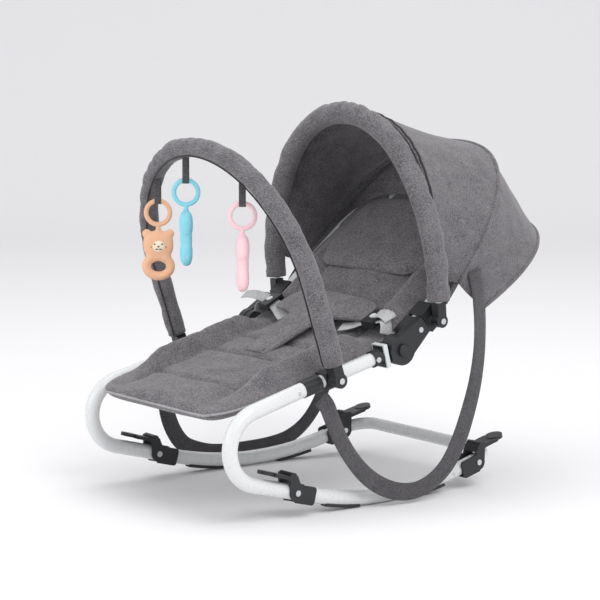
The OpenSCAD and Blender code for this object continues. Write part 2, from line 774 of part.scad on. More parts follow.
module toy_bar_sockets() {
    color(PLASTIC_BLACK) on_toy_bar() both_sides() difference() {
        union() {
            translate([toy_socket_in_x, 0, 0]) rotate([0, 90, 0])
                cylinder(r = 12, h = toy_socket_out_x - toy_socket_in_x);
            translate([toy_socket_in_x, 0, -toy_tube_d / 2 - 3])
                cube([toy_socket_out_x - toy_socket_in_x, 26, toy_tube_d + 6]);
        }
        translate([toy_socket_in_x - 1, 0, 0]) rotate([0, 90, 0])
            cylinder(d = pin_d + 2 * run_gap, h = 40);
        translate([toy_half, toy_start, 0]) rotate([-90, 0, 0]) cylinder(d = toy_tube_d, h = 60);
    }
}

toy_cover_start = 28;
toy_cover_path = [[toy_h - toy_half - toy_cover_start], [toy_half, 180],
    [toy_h - toy_half - toy_cover_start]];
module toy_bar_cover() {
    color(CLOTH_GREY) on_toy_bar() stand_arch(toy_half, toy_cover_start) difference() {
        rod(toy_cover_path, toy_cover_d / 2);
        translate([-1, 0, 0]) rod(longer(toy_cover_path, 1), toy_tube_d / 2);
    }
}

// ---- Hanging toys ----
ring_rod_d = 8;
loop_w = 11;
loop_t = 1.8;
loop_drop = 38;
toy_yaw = 54;
toy_places = [-136, -30, 118];

// Middle of the toy bar's top curve at a distance across
function bar_up(x) = toy_h - toy_half + sqrt(toy_half * toy_half - x * x);
function bar_point(x) = [
    x, toy_y - bar_up(x) * sin(toy_lean), toy_z + bar_up(x) * cos(toy_lean)
];

// The point where a toy's ring hangs in its loop, turned so the ring faces the near corner
module at_toy(i) {
    p = bar_point(toy_places[i]);
    translate([p[0], p[1], p[2] - toy_cover_d / 2 - loop_drop]) rotate([0, 0, toy_yaw]) children();
}

module toy_loops() {
    inner = ring_rod_d / 2 + 1.3;
    color(WEB_DARK) difference() {
        for (i = [0 : 2]) at_toy(i) rotate([90, 0, 90]) linear_extrude(loop_w, center = true)
            difference() {
                union() {
                    circle(r = inner + loop_t);
                    translate([-inner - loop_t, 0]) square([2 * (inner + loop_t), loop_drop + 14]);
                }
                circle(r = inner);
                translate([-inner, 0]) square([2 * inner, loop_drop + 20]);
            }
        on_toy_bar() stand_arch(toy_half, toy_cover_start) rod(toy_cover_path, toy_cover_d / 2);
    }
}

ring_mid_r = ring_d / 2 - ring_rod_d / 2;
module hanging_ring(i) {
    at_toy(i) translate([0, 0, -ring_mid_r]) rotate([90, 0, 0])
        rotate_extrude($fn = 72) translate([ring_mid_r, 0]) circle(d = ring_rod_d);
}

module bear_ring() {
    color(PEACH) hanging_ring(0);
}

module blue_ring() {
    color(AQUA) hanging_ring(1);
}

module pink_ring() {
    color(PINK) hanging_ring(2);
}

// A toy's neck grips the bottom of its ring, and the body hangs below
module at_toy_body(i) {
    at_toy(i) translate([0, 0, -2 * ring_mid_r]) children();
}

neck_r = 7;
module toy_neck(i, drop) {
    difference() {
        at_toy_body(i) {
            sphere(r = neck_r);
            translate([0, 0, -drop]) cylinder(r = 3.2, h = drop);
        }
        hanging_ring(i);
    }
}

bear_w = 56;
bear_deep = 22;
module bear_figure() {
    color(PEACH) {
        toy_neck(0, 14);
        at_toy_body(0) translate([0, 0, -34]) rotate([90, 0, 0]) {
            linear_extrude(bear_deep, center = true) difference() {
                union() {
                    circle(r = 25);
                    for (side = [-1, 1]) translate([side * 20, 19]) circle(r = 8);
                    translate([0, -35]) circle(d = bear_w);
                    translate([-20, -30]) square([40, 20]);
                }
                translate([-6, -38]) circle(r = 10);
                translate([6, -38]) circle(r = 10);
                translate([-6, -48]) square([12, 20]);
            }
        }
    }
}

teether_h = 92;
teether_w = 44;
teether_t = 23;
// The flat teethers hang edge-on to the way their rings face
module teether(i) {
    r = teether_t / 2;
    toy_neck(i, 16);
    at_toy_body(i) translate([0, 0, -teether_h / 2 - 12]) rotate([90, 0, 90])
        linear_extrude(teether_t, center = true) {
            translate([0, teether_h / 2 - teether_w / 2]) circle(d = teether_w);
            translate([0, teether_w / 2 - teether_h / 2]) circle(d = teether_w);
            translate([-teether_w / 2 + 5, -teether_h / 2 + teether_w / 2])
                square([teether_w - 10, teether_h - teether_w]);
        }
}

module blue_teether() {
    color(AQUA) teether(1);
}

module pink_teether() {
    color(PINK) teether(2);
}

// ---- Rocking stops, folded up against the runners ----
stop_len = 38;
stop_web_from = 14;
stop_half_h = 14;
stop_tab_z = 19;
cheek_in = tube_r + stop_gap;
cheek_out = cheek_in + cheek_t;

// Here x runs along the tube to the middle of the runner
module on_stop(front) {
    if (front) at_stop(stop_front, -1) children();
    else at_stop(stop_rear, 1) mirror([1, 0, 0]) children();
}

module stop_shape() {
    difference() {
        union() {
            translate([0, 0, -cheek_out]) linear_extrude(2 * cheek_out) {
                circle(r = stop_half_h);
                translate([0, -stop_half_h - 2]) square([stop_len - 6, 2 * stop_half_h + 2]);
                translate([stop_len - 6, -stop_half_h + 4]) circle(r = 6);
                translate([stop_len - 6, stop_half_h - 6]) circle(r = 6);
                translate([stop_len - 7, -stop_half_h + 4]) square([7, 2 * stop_half_h - 10]);
                polygon([[-stop_half_h, 0], [stop_half_h, 0], [-6, 27], [-22, 28]]);
                translate([-14, 24]) circle(r = 7);
                translate([-50, stop_tab_z]) square([36, 6]);
                translate([-50, stop_tab_z + 3]) circle(r = 3);
            }
            translate([-58, stop_tab_z + 4, 0]) rotate([90, 0, 0])
                cylinder(r = cheek_out * 0.9, h = 6, center = true);
        }
        translate([-stop_half_h - 8, -tube_r - stop_gap - 0.2, -cheek_in])
            cube([stop_len + 40, stop_tab_z + tube_r + stop_gap - 0.6, 2 * cheek_in]);
        translate([-stop_half_h - 8, -stop_half_h - 20, -cheek_in])
            cube([stop_half_h + 8 + stop_web_from, 40, 2 * cheek_in]);
        cylinder(d = stop_pin_d + 2 * run_gap, h = 3 * cheek_out, center = true);
    }
}

module stop_front_part(right) {
    color(PLASTIC_BLACK) on_right(right) on_stop(true) stop_shape();
}

module stop_rear_part(right) {
    color(PLASTIC_BLACK) on_right(right) on_stop(false) stop_shape();
}

head_t = 1.5;
module stop_rivets() {
    color(STEEL_BARE) both_sides() for (front = [true, false]) on_stop(front) {
        cylinder(d = stop_pin_d, h = 2 * (cheek_out + 0.3), center = true);
        for (end = [-1, 1]) translate([0, 0, end * (cheek_out + 0.3 + head_t / 2)])
            cylinder(d = stop_pin_d + 4, h = head_t, center = true);
    }
}

module rivet(inside, outside) {
    translate([0, 0, -inside]) cylinder(d = 4, h = inside + outside + 1);
    translate([0, 0, outside + 0.02]) cylinder(d = 9, h = 1.4);
}

// ---- Rivets that hold the side tubes, the hinge sleeves and the backrest ----
module frame_rivets() {
    color(STEEL_BARE) both_sides() {
        translate([seat_half, pivot_y - 47, line_z(pivot_y - 47)]) rotate([0, 90, 0])
            rivet(sleeve_r, sleeve_r);
        difference() {
            toy_bar_pin_blank();
            side_tube_blank();
        }
        translate([toy_socket_out_x + 0.4, toy_y, toy_z]) rotate([0, 90, 0])
            cylinder(d = pin_d + 4, h = 2);
    }
}

module back_rivets() {
    color(STEEL_BARE) both_sides() on_backrest() translate([back_half, back_rivet_at, 0]) rotate([0, 90, 0])
        rivet(back_half - arm_in_x, arm_out_x - back_half);
}

// ---- Seat cloth ----
pad_front_y = -363;
pad_rear_y = pivot_y - 26;
pad_slope = 14.5;
pad_low = 13;
pad_top = 15;
pad_len_along = (pad_rear_y - pad_front_y) / cos(pad_slope);
front_round = 60;

// The seat's frame: x across, y back along the side tubes, z up from their line
module on_seat() {
    translate([0, pad_front_y, line_z(pad_front_y)]) rotate([rocker_half, 0, 0]) children();
}

module pad_outline(half, depth, r_front, r_back) {
    translate([-half, r_front]) square([2 * half, depth - r_front - r_back]);
    translate([-half + r_front, 0]) square([2 * (half - r_front), depth - r_back]);
    translate([-half + r_back, depth - r_back - 1]) square([2 * (half - r_back), r_back + 1]);
    for (side = [-1, 1]) {
        translate([side * (half - r_front), r_front]) circle(r = r_front);
        translate([side * (half - r_back), depth - r_back]) circle(r = r_back);
    }
}

bolster_lift = 20;
module bolster(x, from, to, lift) {
    translate([x, from, lift]) {
        sphere(r = bolster_r);
        rotate([-90, 0, 0]) cylinder(r = bolster_r, h = to - from);
        translate([0, to - from, 0]) sphere(r = bolster_r);
    }
}

module seat_pad() {
    color(CLOTH_GREY) difference() {
        union() {
            on_seat() translate([0, 0, -pad_low]) linear_extrude(pad_low + pad_top)
                pad_outline(pad_half, pad_len_along, front_round, 6);
            on_seat() for (side = [-1, 1])
                bolster(side * (pad_half - bolster_r), 95, pad_len_along - 50, bolster_lift);
        }
        front_bar_room();
        both_sides() connector_room();
    }
}

soft_gap = 0.5;
module front_bar_room() {
    front_bar_path(front_bar_d / 2 + soft_gap);
}

module connector_room() {
    translate([front_bar_half, rock_y + arm_end_y, arm_end_z]) rotate([rocker_half, 0, 0])
        translate([-15, -3, -15]) cube([80, connector_len + 6, 30]);
}

back_pad_from = 14;
back_pad_low = 8;
back_pad_top = 15;
back_pad_half = back_half - seat_tube_r - 2;
module back_pad() {
    color(CLOTH_GREY) on_backrest() difference() {
        union() {
            translate([0, back_pad_from, -back_pad_low]) linear_extrude(back_pad_low + back_pad_top)
                pad_outline(back_pad_half, back_len - seat_tube_r - 3 - back_pad_from, 8, back_corner_r - 8);
            for (side = [-1, 1])
                bolster(side * (back_pad_half - bolster_r - 2), 76, back_len - 100, bolster_lift - 6);
        }
        both_sides() {
            translate([arm_in_x - soft_gap, 0, -20]) cube([40, arm_far + 4, 60]);
            translate([back_half - seat_tube_r - clip_wall - soft_gap, canopy_at - clip_half - 4, -60])
                cube([40, 2 * clip_half + 8, 120]);
        }
    }
}

head_from = 150;
head_to = 304;
module head_pad() {
    color(CLOTH_GREY) on_backrest() translate([0, head_from, back_pad_top + soft_gap])
        linear_extrude(16) pad_outline(head_half, head_to - head_from, 30, 30);
}

flap_y = -155;
flap_slope = 27;
flap_neck = 118;
flap_reach = 152;
flap_half = 127;
flap_wing = 31;
flap_t = 9;
module on_flap() {
    lift = pad_top / cos(rocker_half) + 5;
    translate([0, flap_y, line_z(flap_y) + lift]) rotate([flap_slope, 0, 0]) children();
}

module crotch_pad() {
    color(CLOTH_GREY) difference() {
        on_flap() translate([0, 0, -flap_t / 2]) linear_extrude(flap_t) difference() {
            union() {
                polygon([[-32, -20], [32, -20], [36, 60], [60, flap_neck], [60, flap_reach], [-60, flap_reach],
                    [-60, flap_neck], [-36, 60]]);
                for (side = [-1, 1]) translate([side * (flap_half - flap_wing), flap_reach])
                    circle(r = flap_wing);
                translate([-flap_half + flap_wing, flap_reach - flap_wing])
                    square([2 * (flap_half - flap_wing), 2 * flap_wing]);
            }
            for (side = [-1, 1]) translate([side * (flap_half - 12), flap_reach]) square([5, 32], center = true);
        }
        on_seat() translate([0, 0, -pad_low]) linear_extrude(pad_low + pad_top)
            pad_outline(pad_half, pad_len_along, front_round, 6);
    }
}

// Webbing that runs out through the wing's slot to the buckle and on down to the seat's side
waist_w = 25;

module buckle_shape() {
    translate([147, -25, 298]) rotate([flap_slope, 0, 0]) translate([0, 0, 0]) children();
}

buckle_t = 13;
module buckle(right) {
    color(PLASTIC_BLACK) on_right(right) buckle_shape() difference() {
        translate([-14, -19, -buckle_t / 2]) cube([28, 38, buckle_t]);
        translate([-20, -waist_w / 2 - 1.5, -2.2]) cube([40, waist_w + 3, 4.4]);
        translate([0, 0, 2.2]) cylinder(d = 12 + 2 * run_gap, h = buckle_t);
    }
}

module buckle_button(right) {
    color(PLASTIC_PALE) on_right(right) buckle_shape() translate([0, 0, 4.4]) cylinder(d = 12, h = 3.4);
}

module waist_strap(right) {
    color(WEB_PALE) on_right(right) buckle_shape() {
        translate([-34, -waist_w / 2, -0.9]) cube([70, waist_w, 1.8]);
        translate([34, -waist_w / 2, -14]) cube([1.8, waist_w, 15]);
    }
}

module carry_strap(right) {
    color(WEB_DARK) if (right) band(strap_route_right, strap_w, strap_t);
    else band(strap_route_left, strap_w, strap_t);
}

rocker_tube(true);  // rocker_tube_right
rocker_tube(false);  // rocker_tube_left
rear_tube();
runner_pads();
frame_rivets();
arm_connector(true);  // arm_connector_right
arm_connector(false);  // arm_connector_left
side_tube(true);  // side_tube_right
side_tube(false);  // side_tube_left
front_bar();
hinge_housing(true);  // hinge_housing_right
hinge_housing(false);  // hinge_housing_left
hinge_collars();
hinge_pins();
hinge_arm(true);  // hinge_arm_right
hinge_arm(false);  // hinge_arm_left
recline_button(true);  // recline_button_right
recline_button(false);  // recline_button_left
backrest_tube();
canopy_clips();
canopy_pins();
canopy_hoop_tube();
hoop_sockets();
hoop_cover();
canopy_bow();
canopy_front_panel();
canopy_rear_panel();
toy_bar_mounts();
back_rivets();
toy_bar_tube();
toy_bar_sockets();
toy_bar_cover();
toy_loops();
bear_ring();
bear_figure();
blue_ring();
blue_teether();
pink_ring();
pink_teether();
stop_front_part(true);  // stop_front_right
stop_front_part(false);  // stop_front_left
stop_rear_part(true);  // stop_rear_right
stop_rear_part(false);  // stop_rear_left
stop_rivets();
snap_front(true);  // snap_front_right
snap_front(false);  // snap_front_left
snap_rear(true);  // snap_rear_right
snap_rear(false);  // snap_rear_left
seat_pad();
back_pad();
head_pad();
crotch_pad();
waist_strap(true);  // waist_strap_right
waist_strap(false);  // waist_strap_left
buckle(true);  // buckle_right
buckle(false);  // buckle_left
buckle_button(true);  // buckle_button_right
buckle_button(false);  // buckle_button_left
carry_strap(true);  // carry_strap_right
carry_strap(false);  // carry_strap_left
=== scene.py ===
"""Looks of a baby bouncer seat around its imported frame.

Padded sling and pads, canopy, covered bars, webbing, hanging toys and the studio.
"""

import json
import math

import bpy
from mathutils import Matrix, Vector, noise


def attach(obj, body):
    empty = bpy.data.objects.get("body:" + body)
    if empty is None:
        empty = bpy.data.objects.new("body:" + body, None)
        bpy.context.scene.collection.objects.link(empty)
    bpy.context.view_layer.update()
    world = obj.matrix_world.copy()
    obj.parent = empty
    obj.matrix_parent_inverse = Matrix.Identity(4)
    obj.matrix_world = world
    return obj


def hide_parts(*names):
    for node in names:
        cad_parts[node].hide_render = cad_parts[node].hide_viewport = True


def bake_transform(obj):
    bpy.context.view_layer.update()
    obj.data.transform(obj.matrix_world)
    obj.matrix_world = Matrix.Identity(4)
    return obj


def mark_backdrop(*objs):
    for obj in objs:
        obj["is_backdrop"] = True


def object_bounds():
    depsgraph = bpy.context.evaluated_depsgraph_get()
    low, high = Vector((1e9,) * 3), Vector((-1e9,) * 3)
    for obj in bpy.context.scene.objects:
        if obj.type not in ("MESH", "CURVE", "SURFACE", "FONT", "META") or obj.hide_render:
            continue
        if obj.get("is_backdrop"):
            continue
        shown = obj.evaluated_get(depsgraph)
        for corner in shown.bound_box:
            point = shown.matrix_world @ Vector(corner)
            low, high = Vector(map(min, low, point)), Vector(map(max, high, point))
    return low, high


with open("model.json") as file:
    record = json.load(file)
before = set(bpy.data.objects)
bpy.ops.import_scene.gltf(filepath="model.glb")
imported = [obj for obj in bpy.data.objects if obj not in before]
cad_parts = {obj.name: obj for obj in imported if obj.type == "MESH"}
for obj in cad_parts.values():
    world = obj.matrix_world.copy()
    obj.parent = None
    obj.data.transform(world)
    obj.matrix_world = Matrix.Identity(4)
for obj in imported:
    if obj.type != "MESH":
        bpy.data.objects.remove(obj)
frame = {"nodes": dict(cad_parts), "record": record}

bl_info = {
    "name": "Bouncer Seat Looks",
    "version": (1, 0, 0),
    "blender": (4, 5, 0),
    "location": "3D View > Sidebar > Bouncer",
    "description": "Builds the cloth, webbing, toys and studio around the packed bouncer frame",
    "category": "Add Mesh",
}

# ---------------------------------------------------------------- places, in metres

SLOPE = math.radians(14.5)
RECLINE = math.radians(40)
PIVOT = (-0.023, 0.2541)
CANOPY = (0.0472, 0.2980)
TOY_PIVOT = (-0.162, 0.2182)
TOY_LEAN = math.radians(18)
TOY_HALF = 0.2275
TOY_HEIGHT = 0.385
SEAT_FRONT = -0.367
HOOP_HALF, HOOP_HEIGHT, HOOP_FOOT, HOOP_TOP = 0.228, 0.336, 0.060, 0.200
HOOP_ANGLE = math.radians(94)
BOW_ANGLE = math.radians(52)
HEM = (0.095, 0.283)
HEM_TOP = (0.372, 0.440)
FULLNESS = 0.8
FLAP = (-0.155, 0.2410)
FLAP_SLOPE = math.radians(27)
TOY_YAW = math.radians(54)
TOY_PLACES = (-0.136, -0.030, 0.118)
TOY_COVER_R = 0.0155
LOOP_DROP = 0.038


def line_z(y):
    """Height of the side tubes' line at a place y."""
    return PIVOT[1] + (y - PIVOT[0]) * math.tan(SLOPE)


def smooth(t):
    """An even ease from 0 to 1."""
    t = min(1.0, max(0.0, t))
    return t * t * (3 - 2 * t)


def rounded(t):
    """A quarter circle's height at t from its edge, 1 from t = 1 on."""
    return math.sqrt(max(0.0, 1 - (1 - min(1.0, t)) ** 2))


def ripple(p, scale, seed=0.0):
    """A steady wrinkle value from -1 to 1 at a point."""
    return noise.noise(Vector((p[0] * scale + seed, p[1] * scale - seed, p[2] * scale + 2 * seed)))


# ---------------------------------------------------------------- mesh helpers


def mesh_object(name, points, faces):
    """A new smooth mesh object from points and faces."""
    mesh = bpy.data.meshes.new(name)
    mesh.from_pydata([tuple(p) for p in points], [], faces)
    mesh.validate()
    mesh.shade_smooth()
    obj = bpy.data.objects.new(name, mesh)
    bpy.context.scene.collection.objects.link(obj)
    return obj


def loft(name, rings, closed=False):
    """A skin through rings of equal length, capped at both ends unless it closes on itself."""
    n, count = len(rings[0]), len(rings)
    points = [p for ring in rings for p in ring]
    faces = []
    for i in range(count if closed else count - 1):
        j = (i + 1) % count
        for k in range(n):
            m = (k + 1) % n
            faces.append((i * n + k, i * n + m, j * n + m, j * n + k))
    if not closed:
        for base, flip in ((0, True), ((count - 1) * n, False)):
            centre = sum((Vector(points[base + k]) for k in range(n)), Vector()) / n
            points.append(centre)
            c = len(points) - 1
            for k in range(n):
                a, b = base + k, base + (k + 1) % n
                faces.append((b, a, c) if flip else (a, b, c))
    return mesh_object(name, points, faces)


def bake(obj):
    """Applies every modifier on obj."""
    graph = bpy.context.evaluated_depsgraph_get()
    mesh = bpy.data.meshes.new_from_object(obj.evaluated_get(graph))
    obj.modifiers.clear()
    obj.data = mesh
    obj.data.shade_smooth()


def tangents(path, closed=False):
    """Unit directions along a list of points."""
    out = []
    n = len(path)
    for i in range(n):
        a = path[(i - 1) % n] if closed or i > 0 else path[0]
        b = path[(i + 1) % n] if closed or i < n - 1 else path[n - 1]
        out.append((b - a).normalized())
    return out


def rod(name, path, radius, sides=24, up=Vector((1, 0, 0)), shape=None, closed=False):
    """A round bar along a path; shape(s, angle, point) may scale the radius."""
    dirs = tangents(path, closed)
    rings = []
    for i, p in enumerate(path):
        d = dirs[i]
        a = (up - d * up.dot(d)).normalized()
        b = d.cross(a)
        ring = []
        for k in range(sides):
            t = 2 * math.pi * k / sides
            r = radius * (shape(i / (len(path) - 1), t, p) if shape else 1)
            ring.append(p + (a * math.cos(t) + b * math.sin(t)) * r)
        rings.append(ring)
    return loft(name, rings, closed)


def ribbon(name, path, width, thick, normals):
    """Flat webbing along a path; normals give the way its face looks at each point."""
    dirs = tangents(path)
    rings = []
    for i, p in enumerate(path):
        n = normals[i] if isinstance(normals, list) else normals
        n = (n - dirs[i] * n.dot(dirs[i])).normalized()
        w = n.cross(dirs[i])
        ring = []
        for a, b in ((-1, -0.5), (-0.97, -1), (-0.5, -1), (0, -1), (0.5, -1), (0.97, -1), (1, -0.5),
                     (1, 0.5), (0.97, 1), (0.5, 1), (0, 1), (-0.5, 1), (-0.97, 1), (-1, 0.5)):
            ring.append(p + w * (a * width / 2) + n * (b * thick / 2))
        rings.append(ring)
    return loft(name, rings)


def sheet_mesh(name, rows, thick):
    """A cloth of one thickness through rows of points."""
    n, m = len(rows), len(rows[0])
    corners = [i * m + k for i in range(n - 1) for k in range(m - 1)]
    faces = [(c, c + 1, c + m + 1, c + m) for c in corners]
    obj = mesh_object(name, [p for row in rows for p in row], faces)
    mod = obj.modifiers.new("thick", "SOLIDIFY")
    mod.thickness = thick
    mod.offset = 0
    bake(obj)
    return obj


def curve_through(points, steps):
    """Points evenly spread on a smooth curve through the given ones."""
    dense = []
    n = len(points)
    for i in range(n - 1):
        p0, p1, p2, p3 = points[max(i - 1, 0)], points[i], points[i + 1], points[min(i + 2, n - 1)]
        for k in range(12):
            t = k / 12
            dense.append(
                0.5 * ((2 * p1) + (p2 - p0) * t + (2 * p0 - 5 * p1 + 4 * p2 - p3) * t * t
                       + (3 * p1 - p0 - 3 * p2 + p3) * t * t * t))
    dense.append(points[-1])
    lengths = [0.0]
    for a, b in zip(dense, dense[1:]):
        lengths.append(lengths[-1] + (b - a).length)
    out, j = [], 0
    for i in range(steps + 1):
        want = lengths[-1] * i / steps
        while j < len(dense) - 2 and lengths[j + 1] < want:
            j += 1
        span = lengths[j + 1] - lengths[j] or 1.0
        out.append(dense[j].lerp(dense[j + 1], (want - lengths[j]) / span))
    return out


# ---------------------------------------------------------------- materials


def group(name, inputs, outputs):
    """An empty shader node group with its sockets and its two end nodes."""
    tree = bpy.data.node_groups.new(name, "ShaderNodeTree")
    for label, value in inputs:
        kind = "NodeSocketColor" if hasattr(value, "__len__") else "NodeSocketFloat"
        tree.interface.new_socket(label, in_out="INPUT", socket_type=kind).default_value = value
    for label, kind in outputs:
        tree.interface.new_socket(label, in_out="OUTPUT", socket_type=kind)
    return tree, tree.nodes.new("NodeGroupInput"), tree.nodes.new("NodeGroupOutput")


def node(tree, kind, **values):
    """A new node with the given properties and input values."""
    made = tree.nodes.new(kind)
    for key, value in values.items():
        if key in made.inputs:
            made.inputs[key].default_value = value
        else:
            setattr(made, key, value)
    return made


# The colour sockets of a Mix node set to RGBA
MIX_A, MIX_B, MIX_RESULT = 6, 7, 2


def weave_group():
    """Two-tone yarn colour and a woven height, from the piece's own place in space."""
    tree, into, out = group(
        "Woven Yarn",
        [("Light", (0.5, 0.5, 0.5, 1)), ("Dark", (0.2, 0.2, 0.2, 1)), ("Scale", 1.0)],
        [("Color", "NodeSocketColor"), ("Height", "NodeSocketFloat")],
    )
    link = tree.links.new
    place = node(tree, "ShaderNodeTexCoord")
    heights = []
    for turn, across in ((0.0, 4.0), (math.pi / 2, 2.5)):
        mapping = node(tree, "ShaderNodeMapping")
        mapping.inputs["Rotation"].default_value = (turn * 0.6, turn, turn * 0.4)
        mapping.inputs["Scale"].default_value = (1.0, across, across)
        grain = node(tree, "ShaderNodeTexNoise", Scale=190.0, Detail=2.0, Roughness=0.6)
        scaled = node(tree, "ShaderNodeVectorMath", operation="SCALE")
        link(place.outputs["Object"], mapping.inputs["Vector"])
        link(mapping.outputs["Vector"], scaled.inputs[0])
        link(into.outputs["Scale"], scaled.inputs["Scale"])
        link(scaled.outputs["Vector"], grain.inputs["Vector"])
        heights.append(grain)
    both = node(tree, "ShaderNodeMath", operation="ADD")
    link(heights[0].outputs["Fac"], both.inputs[0])
    link(heights[1].outputs["Fac"], both.inputs[1])
    patch = node(tree, "ShaderNodeTexNoise", Scale=38.0, Detail=3.0)
    link(place.outputs["Object"], patch.inputs["Vector"])
    soft = node(tree, "ShaderNodeMath", operation="MULTIPLY_ADD")
    soft.inputs[1].default_value = 0.35
    link(patch.outputs["Fac"], soft.inputs[0])
    link(both.outputs[0], soft.inputs[2])
    spread = node(tree, "ShaderNodeMapRange")
    spread.inputs["From Min"].default_value = 0.92
    spread.inputs["From Max"].default_value = 1.42
    link(soft.outputs[0], spread.inputs["Value"])
    mix = node(tree, "ShaderNodeMix", data_type="RGBA")
    link(spread.outputs["Result"], mix.inputs["Factor"])
    link(into.outputs["Dark"], mix.inputs[MIX_A])
    link(into.outputs["Light"], mix.inputs[MIX_B])
    link(mix.outputs[MIX_RESULT], out.inputs["Color"])
    link(both.outputs[0], out.inputs["Height"])
    return tree


def wear_group():
    """A slight unevenness for coated metal and moulded plastic."""
    tree, into, out = group(
        "Slight Wear", [("Roughness", 0.4), ("Spread", 0.1), ("Scale", 60.0)],
        [("Roughness", "NodeSocketFloat"), ("Height", "NodeSocketFloat")])
    link = tree.links.new
    place = node(tree, "ShaderNodeTexCoord")
    cloud = node(tree, "ShaderNodeTexNoise", Detail=3.0)
    link(place.outputs["Object"], cloud.inputs["Vector"])
    link(into.outputs["Scale"], cloud.inputs["Scale"])
    part = node(tree, "ShaderNodeMath", operation="SUBTRACT")
    part.inputs[1].default_value = 0.5
    link(cloud.outputs["Fac"], part.inputs[0])
    size = node(tree, "ShaderNodeMath", operation="MULTIPLY")
    link(part.outputs[0], size.inputs[0])
    link(into.outputs["Spread"], size.inputs[1])
    total = node(tree, "ShaderNodeMath", operation="ADD")
    link(size.outputs[0], total.inputs[0])
    link(into.outputs["Roughness"], total.inputs[1])
    link(total.outputs[0], out.inputs["Roughness"])
    link(cloud.outputs["Fac"], out.inputs["Height"])
    return tree


def blank(name):
    """A material with only its Principled shader."""
    mat = bpy.data.materials.get(name) or bpy.data.materials.new(name)
    mat.use_nodes = True
    tree = mat.node_tree
    tree.nodes.clear()
    out = tree.nodes.new("ShaderNodeOutputMaterial")
    shader = tree.nodes.new("ShaderNodeBsdfPrincipled")
    tree.links.new(shader.outputs[0], out.inputs["Surface"])
    return mat, tree, shader


def cloth(name, light, dark, scale=1.0, bump=0.22, sheen=0.25, distance=0.0006):
    """A woven cloth."""
    mat, tree, shader = blank(name)
    yarn = node(tree, "ShaderNodeGroup", node_tree=bpy.data.node_groups["Woven Yarn"])
    yarn.inputs["Light"].default_value = (*light, 1)
    yarn.inputs["Dark"].default_value = (*dark, 1)
    yarn.inputs["Scale"].default_value = scale
    relief = node(tree, "ShaderNodeBump", Strength=bump, Distance=distance)
    tree.links.new(yarn.outputs["Color"], shader.inputs["Base Color"])
    tree.links.new(yarn.outputs["Height"], relief.inputs["Height"])
    tree.links.new(relief.outputs["Normal"], shader.inputs["Normal"])
    shader.inputs["Roughness"].default_value = 0.92
    shader.inputs["Specular IOR Level"].default_value = 0.2
    shader.inputs["Sheen Weight"].default_value = sheen
    return mat


def solid(name, color, rough, metal=0.0, coat=0.0, spread=0.08, scale=60.0, bump=0.03, through=0.0):
    """A plain coated, moulded or bare surface."""
    mat, tree, shader = blank(name)
    wear = node(tree, "ShaderNodeGroup", node_tree=bpy.data.node_groups["Slight Wear"])
    wear.inputs["Roughness"].default_value = rough
    wear.inputs["Spread"].default_value = spread
    wear.inputs["Scale"].default_value = scale
    relief = node(tree, "ShaderNodeBump", Strength=bump, Distance=0.0004)
    tree.links.new(wear.outputs["Roughness"], shader.inputs["Roughness"])
    tree.links.new(wear.outputs["Height"], relief.inputs["Height"])
    tree.links.new(relief.outputs["Normal"], shader.inputs["Normal"])
    shader.inputs["Base Color"].default_value = (*color, 1)
    shader.inputs["Metallic"].default_value = metal
    shader.inputs["Coat Weight"].default_value = coat
    if through:
        shader.inputs["Subsurface Weight"].default_value = through
        shader.inputs["Subsurface Radius"].default_value = (0.008, 0.005, 0.004)
    return mat


CLOTH_GREY = "melange cloth"
# The next material is a darkened copy of the grey cloth, painted shade for inside the canopy
CLOTH_PAINTED_SHADE = "inner cloth"
PIPING = "pale piping"
PIPING_DARK = "dark piping"
WEB_DARK = "dark webbing"
WEB_PALE = "pale webbing"
PEACH = "peach silicone"
AQUA = "aqua silicone"
PINK = "pink silicone"
CREAM = "cream silicone"
FACE = "face print"


